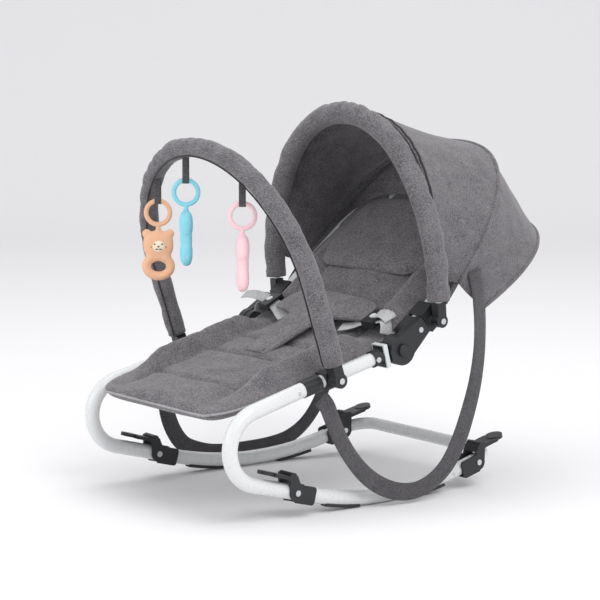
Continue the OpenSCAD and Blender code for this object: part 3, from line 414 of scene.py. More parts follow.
def make_materials(s):
    """All materials, and the frame's own slots filled with theirs."""
    weave_group()
    wear_group()
    tone = s.cloth_tone
    light = (0.225 * tone, 0.214 * tone, 0.226 * tone)
    dark = (0.068 * tone, 0.064 * tone, 0.070 * tone)
    cloth(CLOTH_GREY, light, dark, s.weave_scale)
    # The grey cloth at 0.62 of its brightness: painted shade for the tape inside the canopy's middle bow
    cloth(CLOTH_PAINTED_SHADE, tuple(c * 0.62 for c in light), tuple(c * 0.62 for c in dark), s.weave_scale)
    cloth(PIPING, (0.42, 0.41, 0.42), (0.26, 0.25, 0.26), 1.6, 0.3)
    cloth(PIPING_DARK, (0.045, 0.043, 0.046), (0.02, 0.019, 0.021), 1.6, 0.3)
    cloth(WEB_DARK, (0.115, 0.110, 0.118), (0.05, 0.048, 0.052), 0.8, 0.6)
    cloth(WEB_PALE, (0.56, 0.57, 0.57), (0.36, 0.37, 0.37), 0.8, 0.6)
    solid(PEACH, (0.86, 0.50, 0.31), 0.5, through=0.25)
    solid(CREAM, (0.93, 0.80, 0.62), 0.5, through=0.25)
    solid(AQUA, (0.26, 0.68, 0.80), 0.45, through=0.25)
    solid(PINK, (0.93, 0.64, 0.68), 0.5, through=0.25)
    solid(FACE, (0.05, 0.03, 0.025), 0.6)
    looks = {
        "white_steel": solid("white_steel", (0.74, 0.755, 0.755), 0.28, coat=0.4, bump=0.05, scale=180.0),
        "bare_steel": solid("bare_steel", (0.62, 0.63, 0.65), 0.3, metal=1.0),
        "black_plastic": solid("black_plastic", (0.016, 0.017, 0.020), 0.42, bump=0.12, scale=900.0),
        "pale_plastic": solid("pale_plastic", (0.66, 0.70, 0.70), 0.35),
        "rubber": solid("rubber", (0.03, 0.03, 0.032), 0.7, bump=0.1),
        "grey_cloth": bpy.data.materials[CLOTH_GREY],
        "dark_webbing": bpy.data.materials[WEB_DARK],
        "pale_webbing": bpy.data.materials[WEB_PALE],
        "peach_silicone": bpy.data.materials[PEACH],
        "aqua_silicone": bpy.data.materials[AQUA],
        "pink_silicone": bpy.data.materials[PINK],
    }
    slots = {e["node"]: e["material_slot"] for e in frame["record"]["subparts"]}
    for name, obj in frame["nodes"].items():
        look = looks[slots[name]]
        if not obj.material_slots:
            obj.data.materials.append(look)
        for i in range(len(obj.material_slots)):
            obj.material_slots[i].material = look


def finish_piece(obj, look, body=None, replaces=(), bend=None):
    """Gives a piece its material, attaches it to its body unless it is given a bend (then its place is only
    baked into its mesh), and hides the frame parts it replaces.
    """
    obj.data.materials.clear()
    obj.data.materials.append(bpy.data.materials[look])
    if bend:
        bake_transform(obj)
    else:
        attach(obj, body)
    if replaces:
        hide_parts(*replaces)
    return obj


# ---------------------------------------------------------------- the padded sling

CREASE_FROM, CREASE_TO = -0.070, 0.042
BACK_LEN = 0.345
# Half width of the middle panel between the two long seams
PANEL_HALF = 0.117


def sling_path():
    """Places (y, z) and slopes along the middle of the seat and up the back."""
    a = Vector((SEAT_FRONT, line_z(SEAT_FRONT)))
    b = Vector((CREASE_FROM, line_z(CREASE_FROM)))
    pivot = Vector(PIVOT)
    up = Vector((math.cos(RECLINE), math.sin(RECLINE)))
    c = pivot + up * CREASE_TO
    d = pivot + up * BACK_LEN
    curve = [a.lerp(b, i / 40) for i in range(40)]
    curve += [(b.lerp(pivot, i / 16)).lerp(pivot.lerp(c, i / 16), i / 16) for i in range(16)]
    curve += [c.lerp(d, i / 50) for i in range(51)]
    return [Vector((0, p.x, p.y)) for p in curve]


def sling_half(s, e):
    """Half width of the sling at s from the front, e from the top end."""
    seat, back, wrap = 0.188, 0.178, 0.2075
    seat_len = 0.305
    w = seat + (back - seat) * smooth((s - seat_len) / 0.05)
    w += (wrap - back) * smooth((s - seat_len - 0.145) / 0.04)
    r = 0.062
    if s < r:
        w -= r - math.sqrt(max(0.0, r * r - (r - s) ** 2)) * 0.98
    r = 0.092
    if e < r:
        w -= r - math.sqrt(max(0.0, r * r - (r - e) ** 2)) * 0.985
    return w


def sling_height(x, half, s, length):
    """Top and bottom of the sling above its middle line."""
    q = min(1.0, abs(x) / half)
    seat = 1 - smooth((s - 0.285) / 0.07)
    back = smooth((s - 0.37) / 0.05)
    ridge_at = 0.152 - 0.006 * back
    ridge = math.exp(-(((abs(x) - ridge_at) / 0.026) ** 2))
    rise = 0.031 * seat * smooth((s - 0.05) / 0.09)
    rise += 0.016 * back * (1 - smooth((s - length + 0.10) / 0.07))
    crown = 0.009 * math.cos(min(1.0, abs(x) / PANEL_HALF) * math.pi / 2) ** 0.7
    top = 0.013 + crown + rise * ridge
    top -= 0.0060 * math.exp(-(((abs(x) - PANEL_HALF) / 0.0045) ** 2)) * smooth((s - 0.03) / 0.03)
    for place in (0.085, 0.200, 0.265):
        seam = 0.0060 * (1 if abs(x) < PANEL_HALF else 0.2)
        top -= seam * math.exp(-(((s - place - 0.02 * q * q) / 0.006) ** 2))
    bottom = -0.009 - 0.006 * back * smooth((q - 0.8) / 0.12)
    edge = 0.006 * (1 - back) + 0.003 * (1 - seat) * (1 - back)
    k = math.sqrt(max(0.0, 1 - q ** 12))
    k *= max(0.05, min(1.0, rounded(s / 0.018), rounded((length - s) / 0.014)))
    return edge + (top - edge) * k, edge + (bottom - edge) * k, edge


def build_sling(s):
    """The seat and back as one padded cover that folds at the hinge."""
    path = sling_path()
    lengths = [0.0]
    for a, b in zip(path, path[1:]):
        lengths.append(lengths[-1] + (b - a).length)
    total = lengths[-1]
    fine, spots = [], []
    steps = 230
    j = 0
    for i in range(steps + 1):
        want = total * i / steps
        while j < len(path) - 2 and lengths[j + 1] < want:
            j += 1
        t = (want - lengths[j]) / (lengths[j + 1] - lengths[j])
        fine.append(path[j].lerp(path[j + 1], t))
        spots.append(want)
    dirs = tangents(fine)
    rings, edges = [], {1: [], -1: []}
    across = 70
    for i, p in enumerate(fine):
        n = Vector((0, -dirs[i].z, dirs[i].y))
        half = sling_half(spots[i], total - spots[i])
        top_row, low_row = [], []
        for k in range(across + 1):
            u = -math.cos(math.pi * k / across)
            x = half * (0.55 * u + 0.45 * math.sin(u * math.pi / 2))
            top, low, edge = sling_height(x, half, spots[i], total)
            wrinkle = 1.5 * ripple((x, p.y, p.z), 15, 3.1) + ripple((x * 0.6, p.y * 2, p.z * 2), 30, 1.7)
            wrinkle *= s.wrinkle
            near = math.exp(-((spots[i] - 0.335) / 0.03) ** 2)
            fold = s.wrinkle * 1.6 * near * ripple((x * 0.4, spots[i] * 3.0, 0), 40, 5.0)
            inside = smooth((1 - min(1.0, abs(x) / half)) / 0.12)
            top_row.append(p + Vector((x, 0, 0)) + n * (top + (wrinkle + fold) * inside))
            low_row.append(p + Vector((x, 0, 0)) + n * (low + wrinkle * 0.5 * inside))
            if k in (0, across):
                edges[1 if k else -1].append(p + Vector((x, 0, 0)) + n * edge)
        rings.append(top_row + low_row[-2:0:-1])
    cover = loft("seat_cover", rings)
    bend = ("frame", "backrest", (0, -0.060, 0.25), (0, 0.015, 0.28))
    finish_piece(cover, CLOTH_GREY, None, ("seat_pad", "back_pad"), bend)
    stop = next(i for i, v in enumerate(spots) if v > 0.43)
    for side in (-1, 1):
        run = edges[side][3:stop]
        line = [q + Vector((side * 0.0012, 0, 0.0005)) for q in run]
        cord = rod("seat_piping_%s" % ("right" if side > 0 else "left"), line[::2], 0.0021, 8)
        finish_piece(cord, PIPING, None, (), bend)
    front = [edges[-1][3], *[Vector((x, SEAT_FRONT - 0.0008, line_z(SEAT_FRONT) + 0.006)) for x in
                             [edges[-1][3].x * (1 - 2 * i / 30) for i in range(1, 30)]], edges[1][3]]
    hem = rod("front_piping", front, 0.0021, 8, Vector((0, 0, 1)))
    finish_piece(hem, PIPING, "frame", ())


def on_back(x, along, out):
    """A point in the backrest's own frame."""
    c, w = math.cos(RECLINE), math.sin(RECLINE)
    return Vector((x, PIVOT[0] + along * c - out * w, PIVOT[1] + along * w + out * c))


def pillow(name, half, start, end, base, rise, corner, place, crown=0.55, wrinkle=0.001, seed=0.0, rows=64):
    """A soft quilted pad: rounded in plan, crowned on top, with its seam round the middle."""
    rings = []
    for i in range(rows + 1):
        t = 0.5 - 0.5 * math.cos(math.pi * i / rows)
        a = start + (end - start) * t
        near = min(a - start, end - a)
        w = half
        if near <= corner:
            w -= corner - math.sqrt(max(0.0, corner ** 2 - (corner - near) ** 2))
        ends = math.sqrt(max(0.0, 1 - (1 - min(1.0, near / (corner * 0.55))) ** 2))
        top_row, low_row = [], []
        for k in range(41):
            u = -math.cos(math.pi * k / 40)
            x = w * u
            swell = max(0.0, 1 - abs(u) ** 3.5) ** crown * max(0.02, ends)
            bump = wrinkle * ripple((x, a, 0), 34, seed) * swell
            top_row.append(place(x, a, base + rise * 0.35 + rise * 0.65 * swell + bump))
            low_row.append(place(x, a, base + rise * 0.35 - rise * 0.35 * swell))
        rings.append(top_row + low_row[-2:0:-1])
    return loft(name, rings)


def build_head_pad(s):
    """The wide pad behind the baby's head and shoulders."""
    pad = pillow("head_cushion", 0.146, 0.140, 0.312, 0.0165, 0.019, 0.045, on_back, 0.5, s.wrinkle, 2.0)
    finish_piece(pad, CLOTH_GREY, "backrest", ("head_pad",))


def on_flap(x, along, out):
    """A point in the crotch pad's own frame."""
    c, w = math.cos(FLAP_SLOPE), math.sin(FLAP_SLOPE)
    return Vector((x, FLAP[0] + along * c - out * w, FLAP[1] + along * w + out * c))


def flap_half(a):
    """Half width of the crotch pad at a place along it."""
    neck = 0.033 + 0.010 * smooth(a / 0.09)
    wing = 0.126
    mid, r = 0.152, 0.031
    grown = neck + (wing - neck) * smooth((a - 0.104) / 0.034)
    if a > mid:
        grown = wing - r + math.sqrt(max(0.0, r * r - (a - mid) ** 2))
    return grown


def build_harness(s):
    """The crotch pad with its wings, the waist webbing and its folded ends."""
    rings = []
    for i in range(91):
        a = -0.012 + 0.1945 * i / 90
        w = max(0.004, flap_half(min(a, 0.1829)))
        ends = math.sqrt(max(0.02, 1 - (1 - min(1.0, (0.1832 - a) / 0.008)) ** 2))
        top_row, low_row = [], []
        for k in range(41):
            u = -math.cos(math.pi * k / 40)
            x = w * u
            swell = max(0.0, 1 - abs(u) ** 8) ** 0.5 * ends
            seam = 0.0016 * math.exp(-(((w - abs(x) - 0.010) / 0.0022) ** 2))
            sag = 0.010 * (abs(x) / 0.126) ** 2 * smooth((a - 0.10) / 0.03)
            bump = s.wrinkle * 0.7 * ripple((x, a, 0), 26, 7.0)
            top_row.append(on_flap(x, a, -sag + (0.0052 - seam) * swell + bump))
            low_row.append(on_flap(x, a, -sag - 0.0045 * swell + bump))
        rings.append(top_row + low_row[-2:0:-1])
    pad = loft("crotch_cushion", rings)
    finish_piece(pad, CLOTH_GREY, "frame", ("crotch_pad",))
    for side in (-1, 1):
        word = "right" if side > 0 else "left"
        lie = [
            (0.080, -0.045, 0.279), (0.100, -0.037, 0.283), (0.122, -0.029, 0.291), (0.147, -0.025, 0.298),
            (0.162, -0.023, 0.2985), (0.172, -0.023, 0.296), (0.178, -0.025, 0.288), (0.180, -0.028, 0.276),
        ]
        face = Vector((0, -math.sin(FLAP_SLOPE), math.cos(FLAP_SLOPE)))
        path = curve_through([Vector((side * x, y, z)) for x, y, z in lie], 46)
        normals = []
        for i, p in enumerate(path):
            over = smooth((i / 46 - 0.6) / 0.3)
            normals.append((face * (1 - over) + Vector((side, 0, 0.1)) * over).normalized())
        web = ribbon("waist_web_%s" % word, path, 0.024, 0.0016, normals)
        finish_piece(web, WEB_PALE, "frame", ("waist_strap_%s" % word,))
        if side < 0:
            tail = [
                (-0.150, -0.026, 0.301), (-0.166, -0.031, 0.306),
                (-0.186, -0.037, 0.309), (-0.204, -0.043, 0.307),
            ]
        else:
            tail = [
                (0.150, -0.022, 0.3065), (0.161, -0.020, 0.3085),
                (0.172, -0.019, 0.3065), (0.180, -0.017, 0.300),
            ]
        path = curve_through([Vector(p) for p in tail], 20)
        end = ribbon("waist_tail_%s" % word, path, 0.024, 0.0016, face)
        finish_piece(end, WEB_PALE, "frame", ())


# ---------------------------------------------------------------- bars and canopy


def turned(origin, angle, x, along, out=0.0):
    """A point in a frame that is turned about a cross axis."""
    c, w = math.cos(angle), math.sin(angle)
    return Vector((x, origin[0] + along * c - out * w, origin[1] + along * w + out * c))


def arch_side(half, rise, top_r):
    """Radius and turn of the two side curves of an arch."""
    r = (half * half + (rise - top_r) ** 2 - top_r ** 2) / (2 * (half - top_r))
    return r, math.atan2(rise - top_r, r - half)


def arch_line(half, height, foot, top_r, start):
    """Points (x, along) of an arch from its right foot over the top."""
    rise = height - foot
    r, turn = arch_side(half, rise, top_r)
    pts = [(half, start + (foot - start) * i / 8) for i in range(8)]
    pts += [(half - r + r * math.cos(turn * i / 24), foot + r * math.sin(turn * i / 24)) for i in range(24)]
    mid = foot + rise - top_r
    for i in range(41):
        a = turn + (math.pi - 2 * turn) * i / 80
        pts.append((top_r * math.cos(a), mid + top_r * math.sin(a)))
    return pts + [(-x, y) for x, y in reversed(pts[:-1])]


def sleeve_shape(gather, seed, inner):
    """Wrinkles of a padded sleeve: fine all over, scalloped on its inner side."""
    def shape(t, angle, p):
        side = max(0.0, math.cos(angle - inner))
        wave = abs(math.sin(t * 46 + 3 * math.sin(t * 17 + seed)))
        fold = abs(ripple((p.x, p.y, p.z), 75, seed))
        gathers = gather * side * (wave - 0.4) - gather * 0.3
        return 1 + 0.06 * ripple(p, 38, seed) + gathers - 0.10 * fold * (0.4 + side)
    return shape


def build_toy_bar(s):
    """The padded sleeve on the toy bar with its long seam."""
    top = TOY_HEIGHT - TOY_HALF
    flat = [(TOY_HALF, 0.028 + (top - 0.028) * i / 24) for i in range(24)]
    turns = [math.pi * i / 150 for i in range(151)]
    flat += [(TOY_HALF * math.cos(a), top + TOY_HALF * math.sin(a)) for a in turns]
    flat += [(-x, y) for x, y in reversed(flat[:24])]
    angle = math.pi / 2 + TOY_LEAN
    path = [turned(TOY_PIVOT, angle, x, y) for x, y in flat]
    face = Vector((0, -math.cos(TOY_LEAN), -math.sin(TOY_LEAN)))
    sleeve = rod("toy_bar_sleeve", path, 0.0172, 32, face, sleeve_shape(0.16, 1.3, math.pi / 2))
    finish_piece(sleeve, CLOTH_GREY, "toy bar", ("toy_bar_cover",))
    seam = []
    for (x, y), p in zip(flat, path):
        centre = turned(TOY_PIVOT, angle, 0, min(y, top))
        inward = (centre - p).normalized()
        seam.append(p + (inward * 0.62 + face * 0.78).normalized() * 0.0176)
    line = rod("toy_bar_seam", seam, 0.0014, 8, face)
    finish_piece(line, PIPING_DARK, "toy bar", ())


def canopy_line(half, height, foot, steps=72):
    """Points (x, along) of the cloth's own full arch."""
    out = []
    for i in range(steps + 1):
        a = math.pi * i / steps
        c, w = math.cos(a), math.sin(a)
        out.append((half * math.copysign(abs(c) ** FULLNESS, c), foot + (height - foot) * w ** FULLNESS))
    return out


def build_canopy(s):
    """The hoop's padded sleeve and the two stretched panels behind it."""
    arch = arch_line(HOOP_HALF, HOOP_HEIGHT, HOOP_FOOT, HOOP_TOP, 0.034)
    path = [turned(CANOPY, HOOP_ANGLE, x, y) for x, y in arch]
    face = Vector((0, -math.sin(HOOP_ANGLE), math.cos(HOOP_ANGLE)))
    sleeve = rod("hoop_sleeve", path, 0.0192, 32, face, sleeve_shape(0.16, 4.2, math.pi / 2))
    finish_piece(sleeve, CLOTH_GREY, "front hoop", ("hoop_cover",))
    foot = 0.074
    front = canopy_line(0.2225, HOOP_HEIGHT + 0.004, foot)
    bow = canopy_line(0.2225, 0.3555, foot)
    low = canopy_line(0.2225, math.dist(HEM, HEM_TOP), 0.060)
    hem_angle = math.atan2(HEM_TOP[1] - HEM[1], HEM_TOP[0] - HEM[0])
    rows_front, rows_rear = [], []
    steps = 40
    for i in range(steps + 1):
        t = i / steps
        start, end = HOOP_ANGLE - math.radians(2.5), BOW_ANGLE
        row = []
        for k in range(len(front)):
            p = turned(CANOPY, start, *front[k]).lerp(turned(CANOPY, end, *bow[k]), t)
            axis = Vector((0, CANOPY[0], CANOPY[1]))
            reach = (p - axis).length
            # the cloth lies straight between the two bows, drawn in a little between them
            outwards = (p - Vector((0, CANOPY[0] + 0.02, CANOPY[1] + 0.04))).normalized()
            sag = s.canopy_sag * math.sin(math.pi * t) * smooth(reach / 0.25)
            folds = 1.5 * ripple((p.x, p.y * 0.4, p.z), 14, 2.2)
            folds += 0.7 * ripple((p.x * 2.2, p.y * 0.6, p.z * 2.2), 22, 9.0)
            folds *= s.wrinkle
            folds += s.wrinkle * 1.5 * math.exp(-t * 9) * math.sin(k * 1.9)
            row.append(p - outwards * sag + outwards * folds * math.sin(math.pi * min(1.0, t + 0.12)))
        rows_front.append(row)
        row = []
        for k in range(len(bow)):
            a = turned(CANOPY, BOW_ANGLE - math.radians(0.4), *bow[k])
            p = a.lerp(turned(HEM, hem_angle, *low[k]), t)
            outwards = (p - Vector((0, CANOPY[0] + 0.05, CANOPY[1] + 0.02))).normalized()
            belly = s.canopy_sag * 0.9 * math.sin(math.pi * t)
            folds = 1.6 * ripple((p.x, p.y, p.z), 15, 6.2)
            folds += 0.8 * ripple((p.x * 2, p.y * 2, p.z * 0.7), 24, 3.0)
            folds *= s.wrinkle
            row.append(p + outwards * (folds * math.sin(math.pi * min(0.9, t + 0.1)) - belly * 0.4))
        rows_rear.append(row)
    over = sheet_mesh("canopy_front_cloth", rows_front, 0.0024)
    bend = ("middle bow", "front hoop", turned(CANOPY, BOW_ANGLE, 0, 0.2), turned(CANOPY, HOOP_ANGLE, 0, 0.2))
    finish_piece(over, CLOTH_GREY, None, ("canopy_front_panel",), bend)
    back = sheet_mesh("canopy_rear_cloth", rows_rear, 0.0024)
    finish_piece(back, CLOTH_GREY, None, ("canopy_rear_panel",),
                 ("backrest", "middle bow", Vector((0, 0.365, 0.44)), turned(CANOPY, BOW_ANGLE, 0, 0.28)))
    # The bow's tape takes the darkened cloth copy, painted shade inside the canopy
    tape = [turned(CANOPY, BOW_ANGLE, x, y) for x, y in arch_line(0.2169, 0.350, 0.060, 0.178, 0.034)]
    cover = rod("bow_tape", tape, 0.0040, 12, Vector((0, -math.sin(BOW_ANGLE), math.cos(BOW_ANGLE))))
    finish_piece(cover, CLOTH_PAINTED_SHADE, "middle bow", ())
    seams = (
        ("hoop_piping", rows_front[1], 0.0030, "front hoop", PIPING_DARK),
        ("bow_seam", rows_front[-1], 0.0034, "middle bow", CLOTH_GREY),
        ("rear_hem", rows_rear[-1], 0.0032, "backrest", CLOTH_GREY),
    )
    for name, row, r, body, look in seams:
        out = Vector((0, CANOPY[0] + 0.03, CANOPY[1] + 0.03))
        line = [p + (p - out).normalized() * 0.0014 for p in row]
        trim = rod(name, line, r, 10, Vector((0, 0.6, -0.8)))
        finish_piece(trim, look, body, ())


# ---------------------------------------------------------------- webbing and toys

STRAP_RIGHT = (
    (0.227, 0.123, 0.376), (0.2265, 0.131, 0.350), (0.226, 0.136, 0.310), (0.2255, 0.138, 0.270),
    (0.225, 0.136, 0.230), (0.226, 0.127, 0.185), (0.228, 0.111, 0.140), (0.231, 0.089, 0.095),
    (0.233, 0.063, 0.058), (0.234, 0.031, 0.034), (0.234, -0.005, 0.022), (0.234, -0.041, 0.024),
    (0.233, -0.075, 0.036), (0.231, -0.105, 0.056), (0.228, -0.131, 0.084), (0.225, -0.153, 0.118),
    (0.223, -0.169, 0.152), (0.220, -0.179, 0.178), (0.214, -0.187, 0.190),
)
STRAP_LEFT = (
    (-0.227, 0.123, 0.376), (-0.226, 0.135, 0.350), (-0.225, 0.147, 0.310), (-0.225, 0.157, 0.265),
    (-0.226, 0.164, 0.215), (-0.228, 0.165, 0.165), (-0.231, 0.157, 0.120), (-0.234, 0.139, 0.082),
    (-0.236, 0.111, 0.050), (-0.238, 0.075, 0.029), (-0.238, 0.035, 0.021), (-0.238, -0.01, 0.0185),
    (-0.238, -0.055, 0.0185), (-0.237, -0.095, 0.022), (-0.236, -0.13, 0.032), (-0.234, -0.157, 0.046),
    (-0.231, -0.179, 0.074), (-0.228, -0.193, 0.108), (-0.224, -0.198, 0.142), (-0.218, -0.196, 0.170),
    (-0.214, -0.191, 0.188),
)


def build_straps(s):
    """The two slack carrying straps, which hang between the arms and the backrest."""
    for word, route in (("right", STRAP_RIGHT), ("left", STRAP_LEFT)):
        path = curve_through([Vector(p) for p in route], 90)
        side = 1 if word == "right" else -1
        normals = []
        for i in range(len(path)):
            normals.append(Vector((side, 0.18 * math.sin(i * 0.11), 0.12 * math.sin(i * 0.07 + side))))
        web = ribbon("carry_web_%s" % word, path, s.strap_width, 0.0017, normals)
        finish_piece(web, WEB_DARK, None, ("carry_strap_%s" % word,),
                     ("frame", "backrest", (0, 0.085, 0.15), (0, 0.135, 0.33)))


def hang_point(i):
    """Where a toy's ring hangs in its loop."""
    x = TOY_PLACES[i]
    up = TOY_HEIGHT - TOY_HALF + math.sqrt(TOY_HALF ** 2 - x * x)
    below = TOY_COVER_R + LOOP_DROP
    return Vector((x, TOY_PIVOT[0] - up * math.sin(TOY_LEAN), TOY_PIVOT[1] + up * math.cos(TOY_LEAN) - below))


def toy_point(i, x, y, z):
    """A point in a toy's own frame: x along its ring, y through it, z up from where it hangs."""
    c, w = math.cos(TOY_YAW), math.sin(TOY_YAW)
    p = hang_point(i)
    return Vector((p.x + x * c - y * w, p.y + x * w + y * c, p.z + z))


def blob(name, i, centre, size, power=2.0, rows=28, sides=36):
    """A rounded solid in a toy's frame; a higher power makes it squarer."""
    rings = []
    for a in range(rows + 1):
        lat = math.pi * (a / rows) * 0.998 + 0.001 * math.pi
        ring = []
        for b in range(sides):
            lon = 2 * math.pi * b / sides
            v = (math.sin(lat) * math.cos(lon), math.sin(lat) * math.sin(lon), math.cos(lat))
            k = sum(abs(c) ** power for c in v) ** (-1 / power)
            ring.append(toy_point(i, *(centre[j] + size[j] * v[j] * k for j in range(3))))
        rings.append(ring)
    return loft(name, rings)


def joined(name, parts, voxel):
    """Melts parts into one smooth skin."""
    bpy.ops.object.select_all(action="DESELECT")
    for p in parts:
        p.select_set(True)
    bpy.context.view_layer.objects.active = parts[0]
    bpy.ops.object.join()
    obj = bpy.context.view_layer.objects.active
    obj.name = name
    mod = obj.modifiers.new("melt", "REMESH")
    mod.mode = "VOXEL"
    mod.voxel_size = voxel
    mod = obj.modifiers.new("soften", "SMOOTH")
    mod.factor = 0.6
    mod.iterations = 9
    bake(obj)
    return obj


RING_FALL = -0.040
# Marks on the bear's face: name, place across, place down from the ring, half width, half height
BEAR_FACE = (
    ("nose", 0.001, -0.0365, 0.0024, 0.0018),
    ("eye_left", -0.0055, -0.0325, 0.0014, 0.0014),
    ("eye_right", 0.0072, -0.0325, 0.0014, 0.0014),
    ("mouth_left", -0.0018, -0.0410, 0.0030, 0.0009),
    ("mouth_right", 0.0040, -0.0410, 0.0030, 0.0009),
    ("cheek_left", -0.0115, -0.0375, 0.0012, 0.0008),
    ("cheek_right", 0.0135, -0.0375, 0.0012, 0.0008),
)


def ring_of(i, centre, big_x, big_z, r, name):
    """A bent bar in a toy's frame, closed on itself."""
    turns = [2 * math.pi * k / 48 for k in range(48)]
    x, y, z = centre
    path = [toy_point(i, x + big_x * math.cos(a), y, z + big_z * math.sin(a)) for a in turns]
    normal = (toy_point(i, 0, 1, 0) - toy_point(i, 0, 0, 0)).normalized()
    return rod(name, path, r, 16, normal, None, True)


def build_toys(s):
    """The loops under the toy bar, the bear and the two flat teethers."""
    loops = []
    for i in range(3):
        r = 0.0052
        drop = LOOP_DROP + 0.006
        pts = [toy_point(i, 0, -r * 0.7, drop), toy_point(i, 0, -r, drop * 0.5)]
        turns = [math.pi + math.pi * k / 10 for k in range(11)]
        pts += [toy_point(i, 0, r * math.cos(a), r * math.sin(a)) for a in turns]
        pts += [toy_point(i, 0, r, drop * 0.5), toy_point(i, 0, r * 0.7, drop)]
        path = curve_through(pts, 60)
        dirs = tangents(path)
        along = (toy_point(i, 1, 0, 0) - toy_point(i, 0, 0, 0)).normalized()
        normals = [along.cross(d) for d in dirs]
        loops.append(ribbon("toy_loop_%d" % i, path, 0.011, 0.0014, normals))
    for k, loop in enumerate(loops):
        finish_piece(loop, WEB_DARK, "toy bar", ("toy_loops",) if k == 0 else ())
    base = RING_FALL
    parts = [
        blob("b1", 0, (0, 0, base - 0.034), (0.0255, 0.0105, 0.0235), 2.6),
        blob("b2", 0, (-0.0195, 0, base - 0.0155), (0.0078, 0.0065, 0.0078)),
        blob("b3", 0, (0.0195, 0, base - 0.0155), (0.0078, 0.0065, 0.0078)),
        ring_of(0, (0, 0, base - 0.071), 0.0205, 0.0165, 0.0078, "b4"),
        blob("b5", 0, (-0.012, 0, base - 0.055), (0.010, 0.009, 0.011)),
        blob("b6", 0, (0.012, 0, base - 0.055), (0.010, 0.009, 0.011)),
        blob("b7", 0, (0, 0, base - 0.007), (0.0045, 0.0045, 0.010)),
    ]
    bear = joined("bear_toy", parts, 0.0014)
    finish_piece(bear, PEACH, "bear", ("bear_figure",))
    muzzle = blob("bear_muzzle", 0, (0.001, -0.0090, base - 0.036), (0.0105, 0.0034, 0.0100))
    finish_piece(muzzle, CREAM, "bear", ())
    for name, x, z, w, h in BEAR_FACE:
        front = -0.0116 if abs(x - 0.001) < 0.009 else -0.0098
        spot = blob("bear_" + name, 0, (x, front, base + z), (w, 0.0012, h), 2.0, rows=10, sides=16)
        finish_piece(spot, FACE, "bear", ())
    teethers = ((1, "blue", AQUA, "aqua_silicone"), (2, "pink", PINK, "pink_silicone"))
    for i, word, look, slot in teethers:
        parts = [
            blob("t1", i, (0, 0, base - 0.033), (0.0112, 0.0215, 0.0235), 2.5),
            blob("t2", i, (0, 0, base - 0.080), (0.0104, 0.0205, 0.0215), 2.5),
            blob("t3", i, (0, 0, base - 0.056), (0.0098, 0.0165, 0.0260), 2.5),
            blob("t4", i, (0, 0, base - 0.008), (0.0042, 0.0050, 0.0120)),
        ]
        figure = joined("%s_teether_toy" % word, parts, 0.0014)
        finish_piece(figure, look, word + " toy", ("%s_teether" % word,))


# ---------------------------------------------------------------- studio


def build_stage(s):
    """Pale floor and backdrop, soft lights and the camera."""
    scene = bpy.context.scene
    rows = []
    for i in range(41):
        t = i / 40
        if t < 0.6:
            y, z = -6 + 10.5 * (t / 0.6), 0.0
        else:
            a = (t - 0.6) / 0.4 * math.pi / 2
            y, z = 4.5 + 2.5 * math.sin(a), 4.5 * (1 - math.cos(a))
        rows.append((y, z))
    turn = Matrix.Rotation(math.radians(52), 3, "Z")
    points = [turn @ Vector((x, y, z)) for y, z in rows for x in (-9, 9)]
    faces = [(2 * i, 2 * i + 1, 2 * i + 3, 2 * i + 2) for i in range(40)]
    floor = mesh_object("studio_floor", points, faces)
    mat, tree, shader = blank("studio paper")
    shader.inputs["Base Color"].default_value = (0.90, 0.895, 0.905, 1)
    shader.inputs["Roughness"].default_value = 0.8
    shader.inputs["Specular IOR Level"].default_value = 0.1
    floor.data.materials.append(mat)
    things = [floor]

    def light(name, place, aim, size, power):
        data = bpy.data.lights.new(name, "AREA")
        data.shape = "RECTANGLE"
        data.size, data.size_y = size
        data.energy = power
        obj = bpy.data.objects.new(name, data)
        obj.location = place
        obj.rotation_euler = (Vector(aim) - Vector(place)).to_track_quat("-Z", "Y").to_euler()
        scene.collection.objects.link(obj)
        things.append(obj)

    light("key_light", (2.6, -0.2, 2.6), (0, 0, 0.3), (2.0, 2.0), s.key_power)
    light("fill_light", (-0.6, -3.2, 1.7), (0, 0, 0.3), (2.4, 2.0), s.key_power * 0.55)
    light("top_light", (-0.6, 0.6, 3.4), (0, 0, 0.2), (3.0, 3.0), s.key_power * 0.7)
    world = bpy.data.worlds.get("studio") or bpy.data.worlds.new("studio")
    world.use_nodes = True
    back = world.node_tree.nodes["Background"]
    back.inputs["Color"].default_value = (0.95, 0.95, 0.97, 1)
    back.inputs["Strength"].default_value = s.world_power
    scene.world = world
    data = bpy.data.cameras.new("camera")
    data.sensor_width = 36
    data.lens = 129
    cam = bpy.data.objects.new("camera", data)
    cam.location = (2.916, -2.220, 0.7635)
    cam.rotation_euler = (Vector((0, -0.070, 0.3185)) - cam.location).to_track_quat("-Z", "Y").to_euler()
    scene.collection.objects.link(cam)
    scene.camera = cam
    scene.view_settings.view_transform = "Standard"
    scene.view_settings.exposure = 0.0
    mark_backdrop(*things, cam)


# ---------------------------------------------------------------- the add-on


